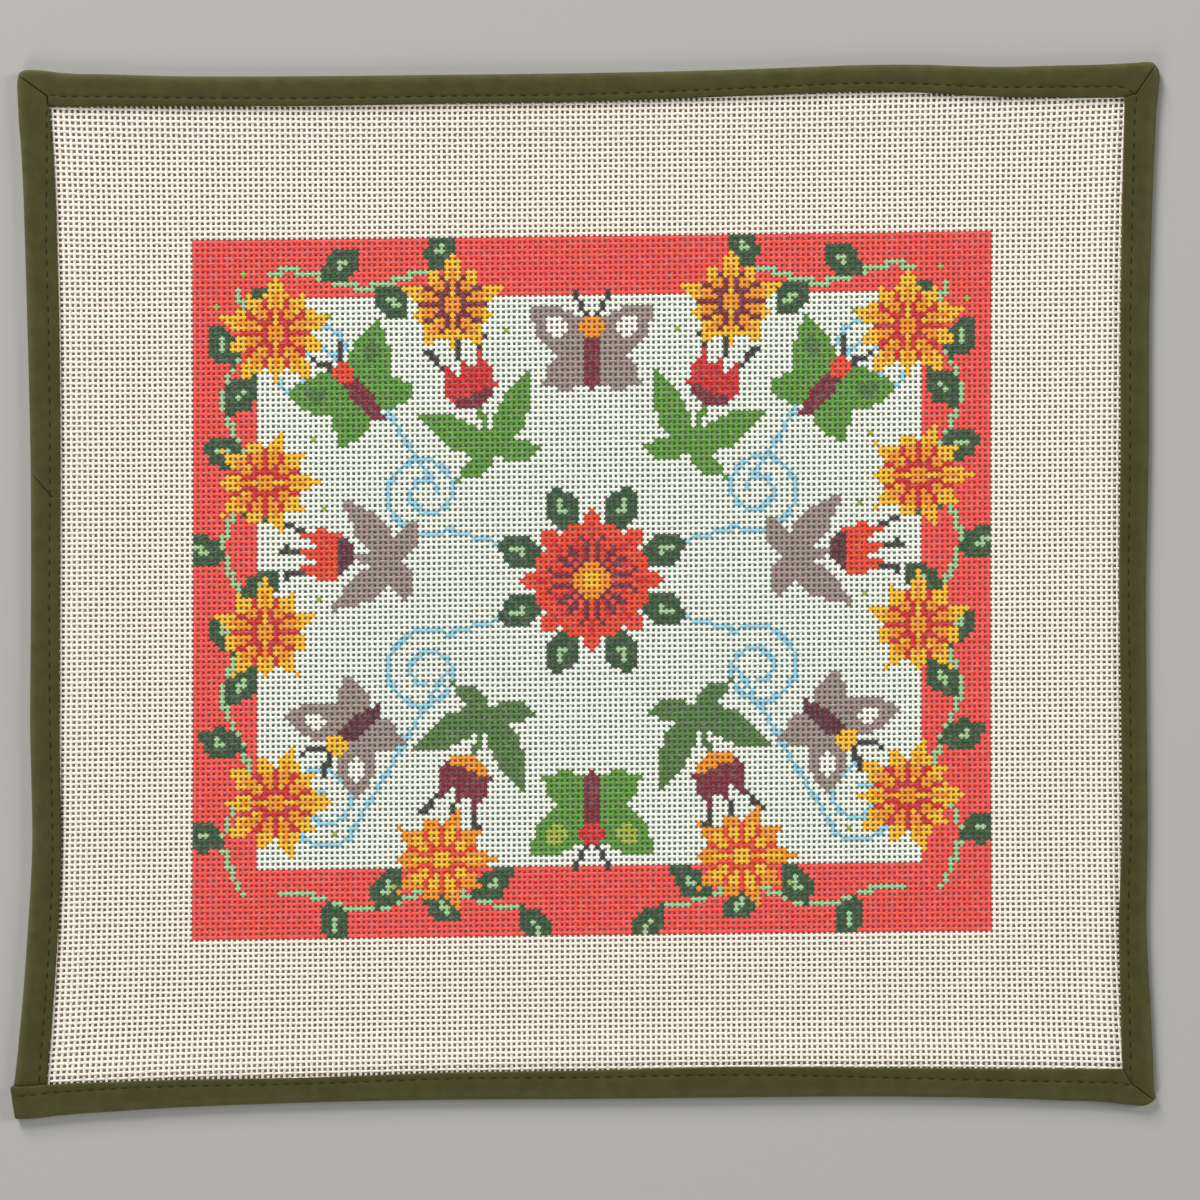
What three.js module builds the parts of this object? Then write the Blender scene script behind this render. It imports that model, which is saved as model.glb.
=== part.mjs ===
// Needlepoint canvas panel: an open-weave cotton canvas, bound all round with one folded cotton tape.
//
// The panel lies face up on a level surface. Units are millimetres, +Z is up, +X runs to the right and
// +Y towards the top edge of the design. The origin is under the middle of the panel, on the surface.
//
// canvas   one sheet. Its middle lies on the surface, and its rim climbs a little to enter the tape.
// binding  one tape of folded cloth, C-shaped in section, that wraps the canvas's edge. It starts at the
//          lower left corner, goes up the left side, folds into a mitre at three corners, and its far end
//          crosses the lower left corner square, butted against the start.
import * as THREE from 'three';

// Thicknesses
const CANVAS_THICKNESS = 1.0;
const TAPE_THICKNESS = 0.7; // one wall of the folded tape, two layers of cloth
const CLEARANCE = 0.3; // between the canvas and the tape that grips it
const BINDING_HEIGHT = 2 * (TAPE_THICKNESS + CLEARANCE) + CANVAS_THICKNESS;
const CANVAS_LIFT = TAPE_THICKNESS + CLEARANCE; // of the canvas's underside, inside the tape

// The tape's fold, stitching and mitres
const FOLD_DEPTH = 2.2; // how far in from the outer edge the fold's rounding reaches
const CANVAS_INSET = 2.5; // from the fold to the canvas's raw edge
const SLOT_INSET = 1.7; // from the fold to the flat of the slot inside the tape
const INNER_ROUNDING = 0.5; // of the tape's turned-under inner edge
const STITCH_INSET = 3.1; // from the inner edge to the line of stitches
const STITCH_GROOVE = { halfWidth: 0.8, depth: 0.2 };
const MITRE_GROOVE = { halfWidth: 0.35, depth: 0.35 };

// The canvas's way down from the tape to the surface, measured from its raw edge
const LIFTED_RIM = 11.5;
const RIM_SLOPE = 15;

// Each side of the tape, in the order in which the tape is sewn on. A row gives a place along the side
// and how far out the folded outer edge and the turned-under inner edge lie there.
const leftSide = [
  { along: -172, outer: -207.4, inner: -195.8 },
  { along: -150, outer: -205.3, inner: -193.9 },
  { along: -120, outer: -203.1, inner: -191.9 },
  { along: -90, outer: -201.7, inner: -190.9 },
  { along: -50, outer: -202.5, inner: -191.7 },
  { along: 0, outer: -202.2, inner: -191.7 },
  { along: 50, outer: -202.4, inner: -191.3 },
  { along: 100, outer: -203.6, inner: -191.8 },
  { along: 150, outer: -205.2, inner: -193.5 },
  { along: 174, outer: -206.8, inner: -195.2 },
];
const topSide = [
  { along: -193, outer: 189.2, inner: 176.6 },
  { along: -150, outer: 187.8, inner: 176.7 },
  { along: -100, outer: 187.8, inner: 176.7 },
  { along: -50, outer: 188.3, inner: 177.7 },
  { along: 0, outer: 188.9, inner: 178.4 },
  { along: 50, outer: 190.0, inner: 180.1 },
  { along: 100, outer: 191.8, inner: 182.0 },
  { along: 125, outer: 191.9, inner: 181.5 },
  { along: 150, outer: 191.2, inner: 180.1 },
  { along: 194, outer: 192.3, inner: 179.8 },
];
const rightSide = [
  { along: 177, outer: 208.5, inner: 196.5 },
  { along: 150, outer: 207.2, inner: 195.9 },
  { along: 100, outer: 205.8, inner: 195.1 },
  { along: 50, outer: 205.6, inner: 195.1 },
  { along: 0, outer: 204.6, inner: 194.6 },
  { along: -50, outer: 204.9, inner: 195.4 },
  { along: -90, outer: 205.2, inner: 195.5 },
  { along: -120, outer: 204.7, inner: 194.5 },
  { along: -150, outer: 206.1, inner: 195.1 },
  { along: -171, outer: 207.1, inner: 195.6 },
];
const bottomSide = [
  { along: 192, outer: -186.7, inner: -174.2 },
  { along: 150, outer: -185.0, inner: -174.1 },
  { along: 100, outer: -184.4, inner: -173.7 },
  { along: 50, outer: -184.8, inner: -173.5 },
  { along: 0, outer: -185.3, inner: -174.8 },
  { along: -50, outer: -185.6, inner: -175.5 },
  { along: -100, outer: -186.6, inner: -177.3 },
  { along: -150, outer: -188.5, inner: -178.2 },
  { along: -190, outer: -191.2, inner: -179.6 },
];

// The three mitred corners. The seam runs from outer to inner. before and after are the points of the
// outer edge on either side of the seam, from the first that leaves the straight side to the last.
const topLeft = {
  outer: [-206.8, 187.9],
  inner: [-195.4, 176.8],
  before: [[-207.1, 181.5], [-207.2, 184.0], [-207.1, 186.3]],
  after: [[-206.1, 189.1], [-204.3, 189.9], [-200.4, 190.0]],
};
const topRight = {
  outer: [208.1, 191.8],
  inner: [196.5, 179.9],
  before: [[201.3, 192.7], [205.0, 193.0], [207.0, 192.7]],
  after: [[209.2, 190.0], [209.6, 187.5], [209.3, 183.9]],
};
const bottomRight = {
  outer: [207.4, -185.8],
  inner: [195.9, -174.2],
  before: [[207.3, -177.6], [207.6, -182.5], [208.2, -185.1]],
  after: [[206.6, -186.6], [204.5, -187.7], [199.3, -187.5]],
};
const INNER_CORNER_STEP = 0.5; // between neighbouring sections along the inner edge, round a corner

// The tape's two ends meet at the lower left corner.
const startOfTape = { outer: [-208.4, -180.5], inner: [-196.2, -179.7] };
const beforeEndOfTape = { outer: [-203.0, -192.6], inner: [-203.5, -180.6] };
const endOfTape = { outer: [-207.6, -192.7], inner: [-209.4, -180.9] };

// The canvas's corners
const canvasCorners = {
  topLeft: [-204.7, 187.4],
  topRight: [206.5, 190.0],
  bottomRight: [204.5, -184.5],
  bottomLeft: [-204.7, -189.8],
};
const GRID_STEP = 28; // of the canvas's mesh, away from its rim
const SECTIONS_PER_ROW = 2; // of the tape, between two rows of a side's table

const point = ([x, y]) => new THREE.Vector2(x, y);
const upright = (along, out) => new THREE.Vector2(out, along); // a place on the left or right side
const level = (along, out) => new THREE.Vector2(along, out); // a place on the top or bottom side

// Sections of the tape along one side: pairs of outer and inner points on smooth curves through the rows.
function sideSections(rows, placeOf) {
  const outer = new THREE.SplineCurve(rows.map((row) => placeOf(row.along, row.outer)));
  const inner = new THREE.SplineCurve(rows.map((row) => placeOf(row.along, row.inner)));
  const steps = (rows.length - 1) * SECTIONS_PER_ROW;
  const sections = [];
  for (let i = 0; i <= steps; i += 1) {
    sections.push({ outer: outer.getPoint(i / steps), inner: inner.getPoint(i / steps), sink: 0 });
  }
  return sections;
}

// Sections round a mitred corner. inward is the way the tape runs before the corner, onward the way after.
function cornerSections(corner, inward, onward) {
  const seamOuter = point(corner.outer);
  const seamInner = point(corner.inner);
  const section = (outer, way, steps) => {
    const inner = seamInner.clone().addScaledVector(way, INNER_CORNER_STEP * steps);
    return { outer, inner, sink: 0 };
  };
  const lipTowards = (edgePoint) => {
    return seamOuter.clone().lerp(edgePoint, MITRE_GROOVE.halfWidth / seamOuter.distanceTo(edgePoint));
  };
  const before = corner.before.map(point);
  const after = corner.after.map(point);
  return [
    ...before.map((edgePoint, i) => section(edgePoint, inward, i - before.length - 1)),
    section(lipTowards(before.at(-1)), inward, -1),
    { outer: seamOuter, inner: seamInner, sink: MITRE_GROOVE.depth },
    section(lipTowards(after[0]), onward, 1),
    ...after.map((edgePoint, i) => section(edgePoint, onward, i + 2)),
  ];
}

// The closed outline of the folded tape's section: distances in from the fold, and heights. sink is how
// far its upper face is pressed down there.
function tapeProfile(width, sink) {
  const top = BINDING_HEIGHT - sink;
  const stitch = width - STITCH_INSET;
  const lowerFace = BINDING_HEIGHT - TAPE_THICKNESS;
  const { halfWidth, depth } = STITCH_GROOVE;
  return [
    [width, lowerFace],
    [width, lowerFace + TAPE_THICKNESS / 2 - sink / 2],
    [width - INNER_ROUNDING, top],
    [stitch + halfWidth, top],
    [stitch, top - depth],
    [stitch - halfWidth, top],
    [FOLD_DEPTH, top],
    [FOLD_DEPTH * 0.4, BINDING_HEIGHT * 0.91 - sink / 2],
    [FOLD_DEPTH * 0.1, BINDING_HEIGHT * 0.7],
    [0, BINDING_HEIGHT * 0.5],
    [FOLD_DEPTH * 0.1, BINDING_HEIGHT * 0.3],
    [FOLD_DEPTH * 0.4, BINDING_HEIGHT * 0.09],
    [FOLD_DEPTH, 0],
    [width, 0],
    [width, TAPE_THICKNESS],
    [SLOT_INSET, TAPE_THICKNESS],
    [SLOT_INSET * 0.6, BINDING_HEIGHT * 0.5],
    [SLOT_INSET, lowerFace],
  ];
}

// The same outline at one place along the tape, as points in space.
function sectionOutline({ outer, inner, sink }) {
  const width = outer.distanceTo(inner);
  const inwards = inner.clone().sub(outer).divideScalar(width);
  return tapeProfile(width, sink).map(([inset, height]) => {
    const place = outer.clone().addScaledVector(inwards, inset);
    return new THREE.Vector3(place.x, place.y, height);
  });
}

function meshOf(positions, triangles, name, material) {
  const geometry = new THREE.BufferGeometry();
  const coordinates = positions.flatMap((p) => p.toArray());
  geometry.setAttribute('position', new THREE.Float32BufferAttribute(coordinates, 3));
  geometry.setIndex(triangles.flat());
  geometry.computeVertexNormals();
  const mesh = new THREE.Mesh(geometry, material);
  mesh.name = name;
  return mesh;
}

// One tape: section outlines joined ring by ring, closed by a cap at each end.
function makeBinding(material) {
  const up = new THREE.Vector2(0, 1);
  const down = new THREE.Vector2(0, -1);
  const right = new THREE.Vector2(1, 0);
  const left = new THREE.Vector2(-1, 0);
  const end = ({ outer, inner }) => ({ outer: point(outer), inner: point(inner), sink: 0 });
  const sections = [
    end(startOfTape),
    ...sideSections(leftSide, upright),
    ...cornerSections(topLeft, up, right),
    ...sideSections(topSide, level),
    ...cornerSections(topRight, right, down),
    ...sideSections(rightSide, upright),
    ...cornerSections(bottomRight, down, left),
    ...sideSections(bottomSide, level),
    end(beforeEndOfTape),
    end(endOfTape),
  ];
  const rings = sections.map(sectionOutline);
  const size = rings[0].length;
  const triangles = [];
  for (let ring = 0; ring + 1 < rings.length; ring += 1) {
    for (let i = 0; i < size; i += 1) {
      const next = (i + 1) % size;
      const [a, b] = [ring * size + i, ring * size + next];
      const [c, d] = [b + size, a + size];
      triangles.push([a, c, b], [a, d, c]);
    }
  }
  const capWidth = sections[0].outer.distanceTo(sections[0].inner);
  const cap = THREE.ShapeUtils.triangulateShape(tapeProfile(capWidth, 0).map(point), []);
  const last = (rings.length - 1) * size;
  for (const [a, b, c] of cap) {
    triangles.push([a, b, c], [last + a, last + c, last + b]);
  }
  return meshOf(rings.flat(), triangles, 'binding', material);
}

// The canvas's raw edge along one side, from corner to corner, a fixed distance inside the tape's fold.
function canvasEdge(rows, placeOf, from, to) {
  const out = Math.sign(rows[0].outer);
  const along = rows.map((row) => placeOf(row.along, row.outer - out * CANVAS_INSET));
  return new THREE.SplineCurve([point(from), ...along, point(to)]);
}

// Places of the grid's lines across a side of the given length, as shares of it: close together where
// the rim climbs into the tape, and GRID_STEP apart in the middle.
function gridLines(length) {
  const slope = [0, 1, 2, 3, 4].map((i) => LIFTED_RIM + (RIM_SLOPE * i) / 4);
  const rim = [0, ...slope];
  const innermost = LIFTED_RIM + RIM_SLOPE;
  const steps = Math.round((length - 2 * innermost) / GRID_STEP);
  const step = (length - 2 * innermost) / steps;
  const middle = Array.from({ length: steps - 1 }, (_, i) => innermost + step * (i + 1));
  const lines = [...rim, ...middle, ...rim.map((d) => length - d).reverse()];
  return lines.map((d) => ({ share: d / length, fromEdge: Math.min(d, length - d) }));
}

// How high the canvas's underside lies this far in from its raw edge.
function liftAt(fromEdge) {
  const down = THREE.MathUtils.smoothstep(fromEdge, LIFTED_RIM, LIFTED_RIM + RIM_SLOPE);
  return CANVAS_LIFT * (1 - down);
}

// One sheet: a grid stretched between the four uneven edges, with an upper and a lower face.
function makeCanvas(material) {
  const { topLeft: tl, topRight: tr, bottomRight: br, bottomLeft: bl } = canvasCorners;
  const leftEdge = canvasEdge(leftSide, upright, bl, tl);
  const rightEdge = canvasEdge([...rightSide].reverse(), upright, br, tr);
  const bottomEdge = canvasEdge([...bottomSide].reverse(), level, bl, br);
  const topEdge = canvasEdge(topSide, level, tl, tr);
  const columns = gridLines(tr[0] - tl[0]);
  const rows = gridLines(tl[1] - bl[1]);
  const lower = [];
  for (const row of rows) {
    const onLeft = leftEdge.getPointAt(row.share);
    const onRight = rightEdge.getPointAt(row.share);
    for (const column of columns) {
      const onBottom = bottomEdge.getPointAt(column.share);
      const onTop = topEdge.getPointAt(column.share);
      const across = onLeft.clone().lerp(onRight, column.share);
      const upwards = onBottom.clone().lerp(onTop, row.share);
      const low = point(bl).lerp(point(br), column.share);
      const high = point(tl).lerp(point(tr), column.share);
      const place = across.add(upwards).sub(low.lerp(high, row.share));
      const lift = Math.max(liftAt(row.fromEdge), liftAt(column.fromEdge));
      lower.push(new THREE.Vector3(place.x, place.y, lift));
    }
  }
  const upper = lower.map((p) => new THREE.Vector3(p.x, p.y, p.z + CANVAS_THICKNESS));
  const count = lower.length;
  const at = (row, column) => row * columns.length + column;
  const triangles = [];
  for (let row = 0; row + 1 < rows.length; row += 1) {
    for (let column = 0; column + 1 < columns.length; column += 1) {
      const [a, b] = [at(row, column), at(row, column + 1)];
      const [c, d] = [at(row + 1, column + 1), at(row + 1, column)];
      const [above, beside, across, over] = [a, b, c, d].map((i) => count + i);
      triangles.push([a, c, b], [a, d, c], [above, beside, across], [above, across, over]);
    }
  }
  const wall = (a, b) => triangles.push([a, b, count + b], [a, count + b, count + a]);
  const lastRow = rows.length - 1;
  const lastColumn = columns.length - 1;
  for (let column = 0; column < lastColumn; column += 1) {
    wall(at(0, column), at(0, column + 1));
    wall(at(lastRow, column + 1), at(lastRow, column));
  }
  for (let row = 0; row < lastRow; row += 1) {
    wall(at(row + 1, 0), at(row, 0));
    wall(at(row, lastColumn), at(row + 1, lastColumn));
  }
  return meshOf([...lower, ...upper], triangles, 'canvas', material);
}

const canvasMaterial = new THREE.MeshStandardMaterial({ color: 0xf3e8dc, roughness: 0.85, metalness: 0 });
const tapeMaterial = new THREE.MeshStandardMaterial({ color: 0x4c4f2a, roughness: 0.8, metalness: 0 });

const panel = new THREE.Group();
panel.add(makeCanvas(canvasMaterial), makeBinding(tapeMaterial));

// The origin lies under the middle of the whole panel.
const middle = new THREE.Box3().setFromObject(panel).getCenter(new THREE.Vector3());
panel.position.set(-middle.x, -middle.y, 0);

export default panel;
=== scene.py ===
import math

import bmesh
import bpy
import numpy as np
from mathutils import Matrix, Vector
from mathutils.bvhtree import BVHTree


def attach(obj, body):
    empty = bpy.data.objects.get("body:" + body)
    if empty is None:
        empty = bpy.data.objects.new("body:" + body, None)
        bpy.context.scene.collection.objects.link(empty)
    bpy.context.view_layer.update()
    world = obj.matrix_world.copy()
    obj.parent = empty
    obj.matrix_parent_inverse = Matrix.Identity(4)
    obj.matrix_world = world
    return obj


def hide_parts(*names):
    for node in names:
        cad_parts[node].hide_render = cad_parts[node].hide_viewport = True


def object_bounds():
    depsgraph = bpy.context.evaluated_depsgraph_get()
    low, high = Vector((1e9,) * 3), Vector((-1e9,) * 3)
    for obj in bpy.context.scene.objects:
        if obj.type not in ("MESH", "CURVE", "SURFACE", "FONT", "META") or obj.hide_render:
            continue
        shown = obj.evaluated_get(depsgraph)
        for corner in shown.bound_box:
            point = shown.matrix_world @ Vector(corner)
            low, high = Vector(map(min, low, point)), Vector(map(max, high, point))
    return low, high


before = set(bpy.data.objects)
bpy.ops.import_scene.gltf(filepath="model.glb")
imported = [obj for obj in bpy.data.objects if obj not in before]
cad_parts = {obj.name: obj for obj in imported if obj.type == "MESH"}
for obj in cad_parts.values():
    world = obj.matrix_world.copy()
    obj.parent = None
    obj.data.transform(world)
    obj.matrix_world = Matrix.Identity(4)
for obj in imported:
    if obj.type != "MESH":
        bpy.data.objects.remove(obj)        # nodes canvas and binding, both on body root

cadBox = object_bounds()
mm = 0.001
tiny = 0.01 * mm                   # two heights closer than this are the same
mergeWithin = 0.001 * mm           # points of a solid's triangles closer than this are one
rayHeight = 0.1                    # from which rays are cast at a surface, well clear of the panel
scene = bpy.context.scene
scene.view_settings.view_transform = "Standard"
rng = np.random.default_rng(13)    # of the threads' and stitches' unevenness


def linear(red, green, blue):
    # a colour given as 0 to 255, as the shader wants it
    parts = [c / 255 for c in (red, green, blue)]
    return tuple(p / 12.92 if p <= 0.04045 else ((p + 0.055) / 1.055) ** 2.4 for p in parts)


def activate(obj):
    bpy.ops.object.select_all(action="DESELECT")
    bpy.context.view_layer.objects.active = obj
    obj.select_set(True)


def treeOf(mesh):
    # a mesh made ready for rays
    return BVHTree.FromPolygons([v.co for v in mesh.vertices], [tuple(p.vertices) for p in mesh.polygons])


canvasTree = treeOf(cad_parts["canvas"].data)


# Camera, light and floor

camera = {
    "pointSize": 0.3645 * mm,      # what one point of the view covers on the panel
    "points": 1200,                # across the view, and up it
    "middleAt": (585.5, 590.5),    # the panel's middle, in points from the upper left corner of the view
    "distance": 0.9,
    "scaleAt": 2.1 * mm,           # the height on the panel at which pointSize holds
    "sensor": 36.0,
}


def makeCamera():
    span = camera["points"] * camera["pointSize"]
    half = camera["points"] / 2
    x = (half - camera["middleAt"][0]) * camera["pointSize"]
    y = (camera["middleAt"][1] - half) * camera["pointSize"]
    bpy.ops.object.camera_add(location=(x, y, camera["distance"]), rotation=(0, 0, 0))
    made = bpy.context.object
    made.data.sensor_width = camera["sensor"]
    made.data.lens = camera["sensor"] * (camera["distance"] - camera["scaleAt"]) / span
    scene.camera = made


studio = {
    "sky": {"colour": (0.94, 0.97, 1.0), "strength": 0.12},
    "floor": {"size": 8.0, "colour": linear(168, 167, 164), "roughness": 0.9},
}
# Soft boxes round the panel, all low, so that little light falls straight through the canvas
softBoxes = [
    {"name": "keyLight", "azimuth": 118, "elevation": 24, "power": 160.0, "colour": (1.0, 0.98, 0.95)},
    {"name": "sideLight", "azimuth": 12, "elevation": 22, "power": 78.0, "colour": (0.98, 0.99, 1.0)},
    {"name": "footLight", "azimuth": 245, "elevation": 22, "power": 71.0, "colour": (1.0, 0.99, 0.97)},
]
softBox = {"size": 1.3, "distance": 3.4}


def makeLight(row):
    level = math.cos(math.radians(row["elevation"]))
    heading = math.radians(row["azimuth"])
    height = math.sin(math.radians(row["elevation"]))
    place = softBox["distance"] * Vector((level * math.cos(heading), level * math.sin(heading), height))
    bpy.ops.object.light_add(type="AREA", location=place)
    made = bpy.context.object
    made.name = row["name"]
    made.rotation_euler = (-place).to_track_quat("-Z", "Y").to_euler()
    made.data.size = softBox["size"]
    made.data.energy = row["power"]
    made.data.color = row["colour"]


def makeFloor():
    row = studio["floor"]
    bpy.ops.mesh.primitive_plane_add(size=row["size"])
    made = bpy.context.object
    made.name = "floor"
    paint = bpy.data.materials.new("paleFloor")
    paint.use_nodes = True
    shader = paint.node_tree.nodes["Principled BSDF"]
    shader.inputs["Base Color"].default_value = (*row["colour"], 1)
    shader.inputs["Roughness"].default_value = row["roughness"]
    made.data.materials.append(paint)
    return made


def makeSky():
    row = studio["sky"]
    scene.world = bpy.data.worlds.new("softSky")
    scene.world.use_nodes = True
    back = scene.world.node_tree.nodes["Background"]
    back.inputs["Color"].default_value = (*row["colour"], 1)
    back.inputs["Strength"].default_value = row["strength"]


makeCamera()
for row in softBoxes:
    makeLight(row)
makeSky()
floor = makeFloor()
print("camera, lights and floor are in place")


# The woven canvas: where each crossing of a warp and a weft thread lies

weave = {
    "warps": 204,                  # threads that run up, numbered from the left
    "wefts": 187,                  # threads that run across, numbered from the bottom
    "warpPitch": 1.954 * mm,       # 13 threads to the inch
    "weftPitch": 1.947 * mm,
    "middle": (1.35 * mm, 1.75 * mm),
    "slant": 0.012,                # rise of a weft thread to the right
    "rise": 0.17 * mm,             # of a thread at a crossing, above or below the middle
}
thread = {
    "width": 0.93 * mm,
    "flat": 0.66,                  # share of the width that is level on top
    "thickness": 0.42 * mm,
    "belly": 0.05,                 # height of its widest place above its middle, as a share of half of it
    "slub": 0.05,                  # unevenness of the width
    "sway": 0.035,                 # of a thread to either side, in pitches
    "swayWaves": (9.0, 23.0, 61.0),   # lengths of its slow drift, in crossings
    "waveHeights": (0.3, 1.0),     # least and most of each wave
    "swayJitter": 0.45,            # of each crossing, against the waves
    "swaySpread": 1.6,             # usual reach of waves and jitter together
}
# How the sewn-on tape has pulled the cloth out at each corner, in millimetres
cornerPull = {
    "upperLeft": {"at": (-192, 178), "alongX": -3.8, "alongY": 3.6},
    "upperRight": {"at": (195, 178), "alongX": 3.3, "alongY": 3.0},
    "lowerRight": {"at": (195, -176), "alongX": 4.2, "alongY": -3.5},
    "lowerLeft": {"at": (-192, -176), "alongX": -5.1, "alongY": -3.7},
}
pullReach = {"alongX": (45, 50), "alongY": (80, 30)}   # how far off in X and in Y each pull fades


def crossingPlace(warp, weft):
    # warp and weft are thread numbers, whole or in between
    x = weave["middle"][0] + (warp - (weave["warps"] - 1) / 2) * weave["warpPitch"]
    y = weave["middle"][1] + (weft - (weave["wefts"] - 1) / 2) * weave["weftPitch"]
    moveX = np.zeros_like(x)
    moveY = weave["slant"] * x
    for pull in cornerPull.values():
        awayX = np.abs(x / mm - pull["at"][0])
        awayY = np.abs(y / mm - pull["at"][1])
        reachX, reachY = pullReach["alongX"]
        moveX = moveX + pull["alongX"] * mm * np.exp(-awayX / reachX - awayY / reachY)
        reachX, reachY = pullReach["alongY"]
        moveY = moveY + pull["alongY"] * mm * np.exp(-awayX / reachX - awayY / reachY)
    return x + moveX, y + moveY


def canvasHeights():
    # the level of the cloth's middle at every crossing, read off the canvas's solid
    down = Vector((0, 0, -1))
    halfThick = canvasTree.ray_cast(Vector((0, 0, rayHeight)), down)[0].z / 2
    warp, weft = np.meshgrid(np.arange(weave["warps"], dtype=float), np.arange(weave["wefts"], dtype=float))
    x, y = crossingPlace(warp, weft)
    levels = np.full(x.shape, halfThick)
    for spot in np.ndindex(x.shape):
        hit = canvasTree.ray_cast(Vector((x[spot], y[spot], rayHeight)), down)[0]
        if hit is not None:
            levels[spot] = hit.z - halfThick
    return levels


clothLevel = canvasHeights()


# The painted design, one colour to a crossing

paintColours = {
    "coral": linear(250, 78, 70),
    "mint": linear(233, 240, 227),
    "leafGreen": linear(48, 84, 50),
    "midGreen": linear(82, 124, 62),
    "brightGreen": linear(92, 152, 52),
    "paleGreen": linear(158, 200, 145),
    "lime": linear(160, 180, 62),
    "yellow": linear(250, 188, 28),
    "orange": linear(246, 148, 14),
    "fireRed": linear(240, 66, 34),
    "red": linear(215, 38, 42),
    "maroon": linear(128, 36, 52),
    "plum": linear(96, 38, 52),
    "taupe": linear(158, 140, 132),
    "charcoal": linear(58, 56, 56),
    "skyBlue": linear(150, 205, 223),
    "cream": linear(248, 243, 232),
}
design = {
    "firstWarp": 28, "lastWarp": 176,
    "firstWeft": 28, "lastWeft": 158,
    "band": {"left": 12, "right": 13, "top": 11, "bottom": 13},   # threads of coral on each side
}
columns = design["lastWarp"] - design["firstWarp"] + 1
rows = design["lastWeft"] - design["firstWeft"] + 1
middleColumn = (columns - 1) / 2
middleRow = (rows - 1) / 2
colourNames = list(paintColours)
chart = np.full((rows, columns), colourNames.index("mint"))
rowAt, columnAt = np.mgrid[0:rows, 0:columns].astype(float)


def fill(mask, colour):
    chart[mask] = colourNames.index(colour)


def ahead(place, angle, distance):
    # angles are in degrees, clockwise from straight up
    a = math.radians(angle)
    return place[0] + math.sin(a) * distance, place[1] + math.cos(a) * distance


def turned(centre, angle):
    # every crossing's place seen from a centre, the second axis turned to the angle
    a = math.radians(angle)
    across = (columnAt - centre[0]) * math.cos(a) - (rowAt - centre[1]) * math.sin(a)
    along = (columnAt - centre[0]) * math.sin(a) + (rowAt - centre[1]) * math.cos(a)
    return across, along


def paintEllipse(centre, halfWidth, halfLength, angle, colour):
    across, along = turned(centre, angle)
    fill((across / halfWidth) ** 2 + (along / halfLength) ** 2 <= 1, colour)


# In threads, but for the skew and the shares of a leaf's length
brush = {
    "leafSkew": 0.9,               # below 1, a leaf is widest nearer to its foot
    "leafMargin": 0.25,            # to either side
    "leafOverrun": 0.3,            # past its foot and its tip
    "veinHalf": 0.6,
    "veinFrom": 0.36,
    "veinTo": 0.66,
    "lineOverrun": 0.5,
}


def paintLeaf(foot, length, width, angle, colour, vein=None):
    across, along = turned(foot, angle)
    share = np.clip(along / length, 0, 1)
    half = width / 2 * np.sin(math.pi * share ** brush["leafSkew"]) + brush["leafMargin"]
    inside = (along > -brush["leafOverrun"]) & (along < length + brush["leafOverrun"])
    fill(inside & (np.abs(across) <= half), colour)
    if vein:
        inVein = (share > brush["veinFrom"]) & (share < brush["veinTo"])
        fill(inVein & (np.abs(across) < brush["veinHalf"]), vein)


def paintLine(places, width, colour):
    for (x0, y0), (x1, y1) in zip(places, places[1:]):
        run = math.hypot(x1 - x0, y1 - y0)
        along = ((columnAt - x0) * (x1 - x0) + (rowAt - y0) * (y1 - y0)) / run
        across = ((columnAt - x0) * (y1 - y0) - (rowAt - y0) * (x1 - x0)) / run
        inRun = (along > -brush["lineOverrun"]) & (along < run + brush["lineOverrun"])
        fill(inRun & (np.abs(across) <= width / 2), colour)


vine = {"stem": 1.15, "leafWidth": 0.6, "leafAngle": 56}   # leafWidth as a share of the leaf's length


def paintVine(places, side, every, leafLength, firstTurn):
    # a thin stem with leaves set to either side in turn
    paintLine(places, vine["stem"], "paleGreen")
    gone, turn = 0.0, firstTurn
    for (x0, y0), (x1, y1) in zip(places, places[1:]):
        gone += math.hypot(x1 - x0, y1 - y0)
        if gone >= every:
            gone = 0.0
            angle = math.degrees(math.atan2(x1 - x0, y1 - y0)) + side * turn * vine["leafAngle"]
            paintLeaf((x1, y1), leafLength, leafLength * vine["leafWidth"], angle, "leafGreen", "paleGreen")
            turn = -turn


# Shares of the flower's radius, but for the two widths in threads
burst = {
    "petalFoot": 0.18,
    "petalLength": 0.85,
    "petalWidth": 0.4,
    "shortPetal": 0.82,            # of every second petal
    "streakAt": 0.55,
    "streakLength": 0.22,
    "streakWidth": 0.9,
    "stamen": (0.12, 0.62),        # from and to
    "stamenWidth": 1.1,
    "heart": 0.17,
}


def paintBurst(centre, radius, rays, angle, first, second, core):
    # thin petals all round in two colours, short stamens between them
    step = 360 / rays
    for i in range(rays):
        turn = angle + i * step
        reach = radius * (1.0 if i % 2 == 0 else burst["shortPetal"])
        foot = ahead(centre, turn, radius * burst["petalFoot"])
        paintLeaf(foot, reach * burst["petalLength"], radius * burst["petalWidth"], turn, first)
        streak = ahead(centre, turn, reach * burst["streakAt"])
        paintEllipse(streak, burst["streakWidth"], reach * burst["streakLength"], turn, second)
    for i in range(rays):
        turn = angle + (i + 0.5) * step
        ends = [ahead(centre, turn, radius * share) for share in burst["stamen"]]
        paintLine(ends, burst["stamenWidth"], core)
    heart = radius * burst["heart"]
    paintEllipse(centre, heart, heart, 0, second)


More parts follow.
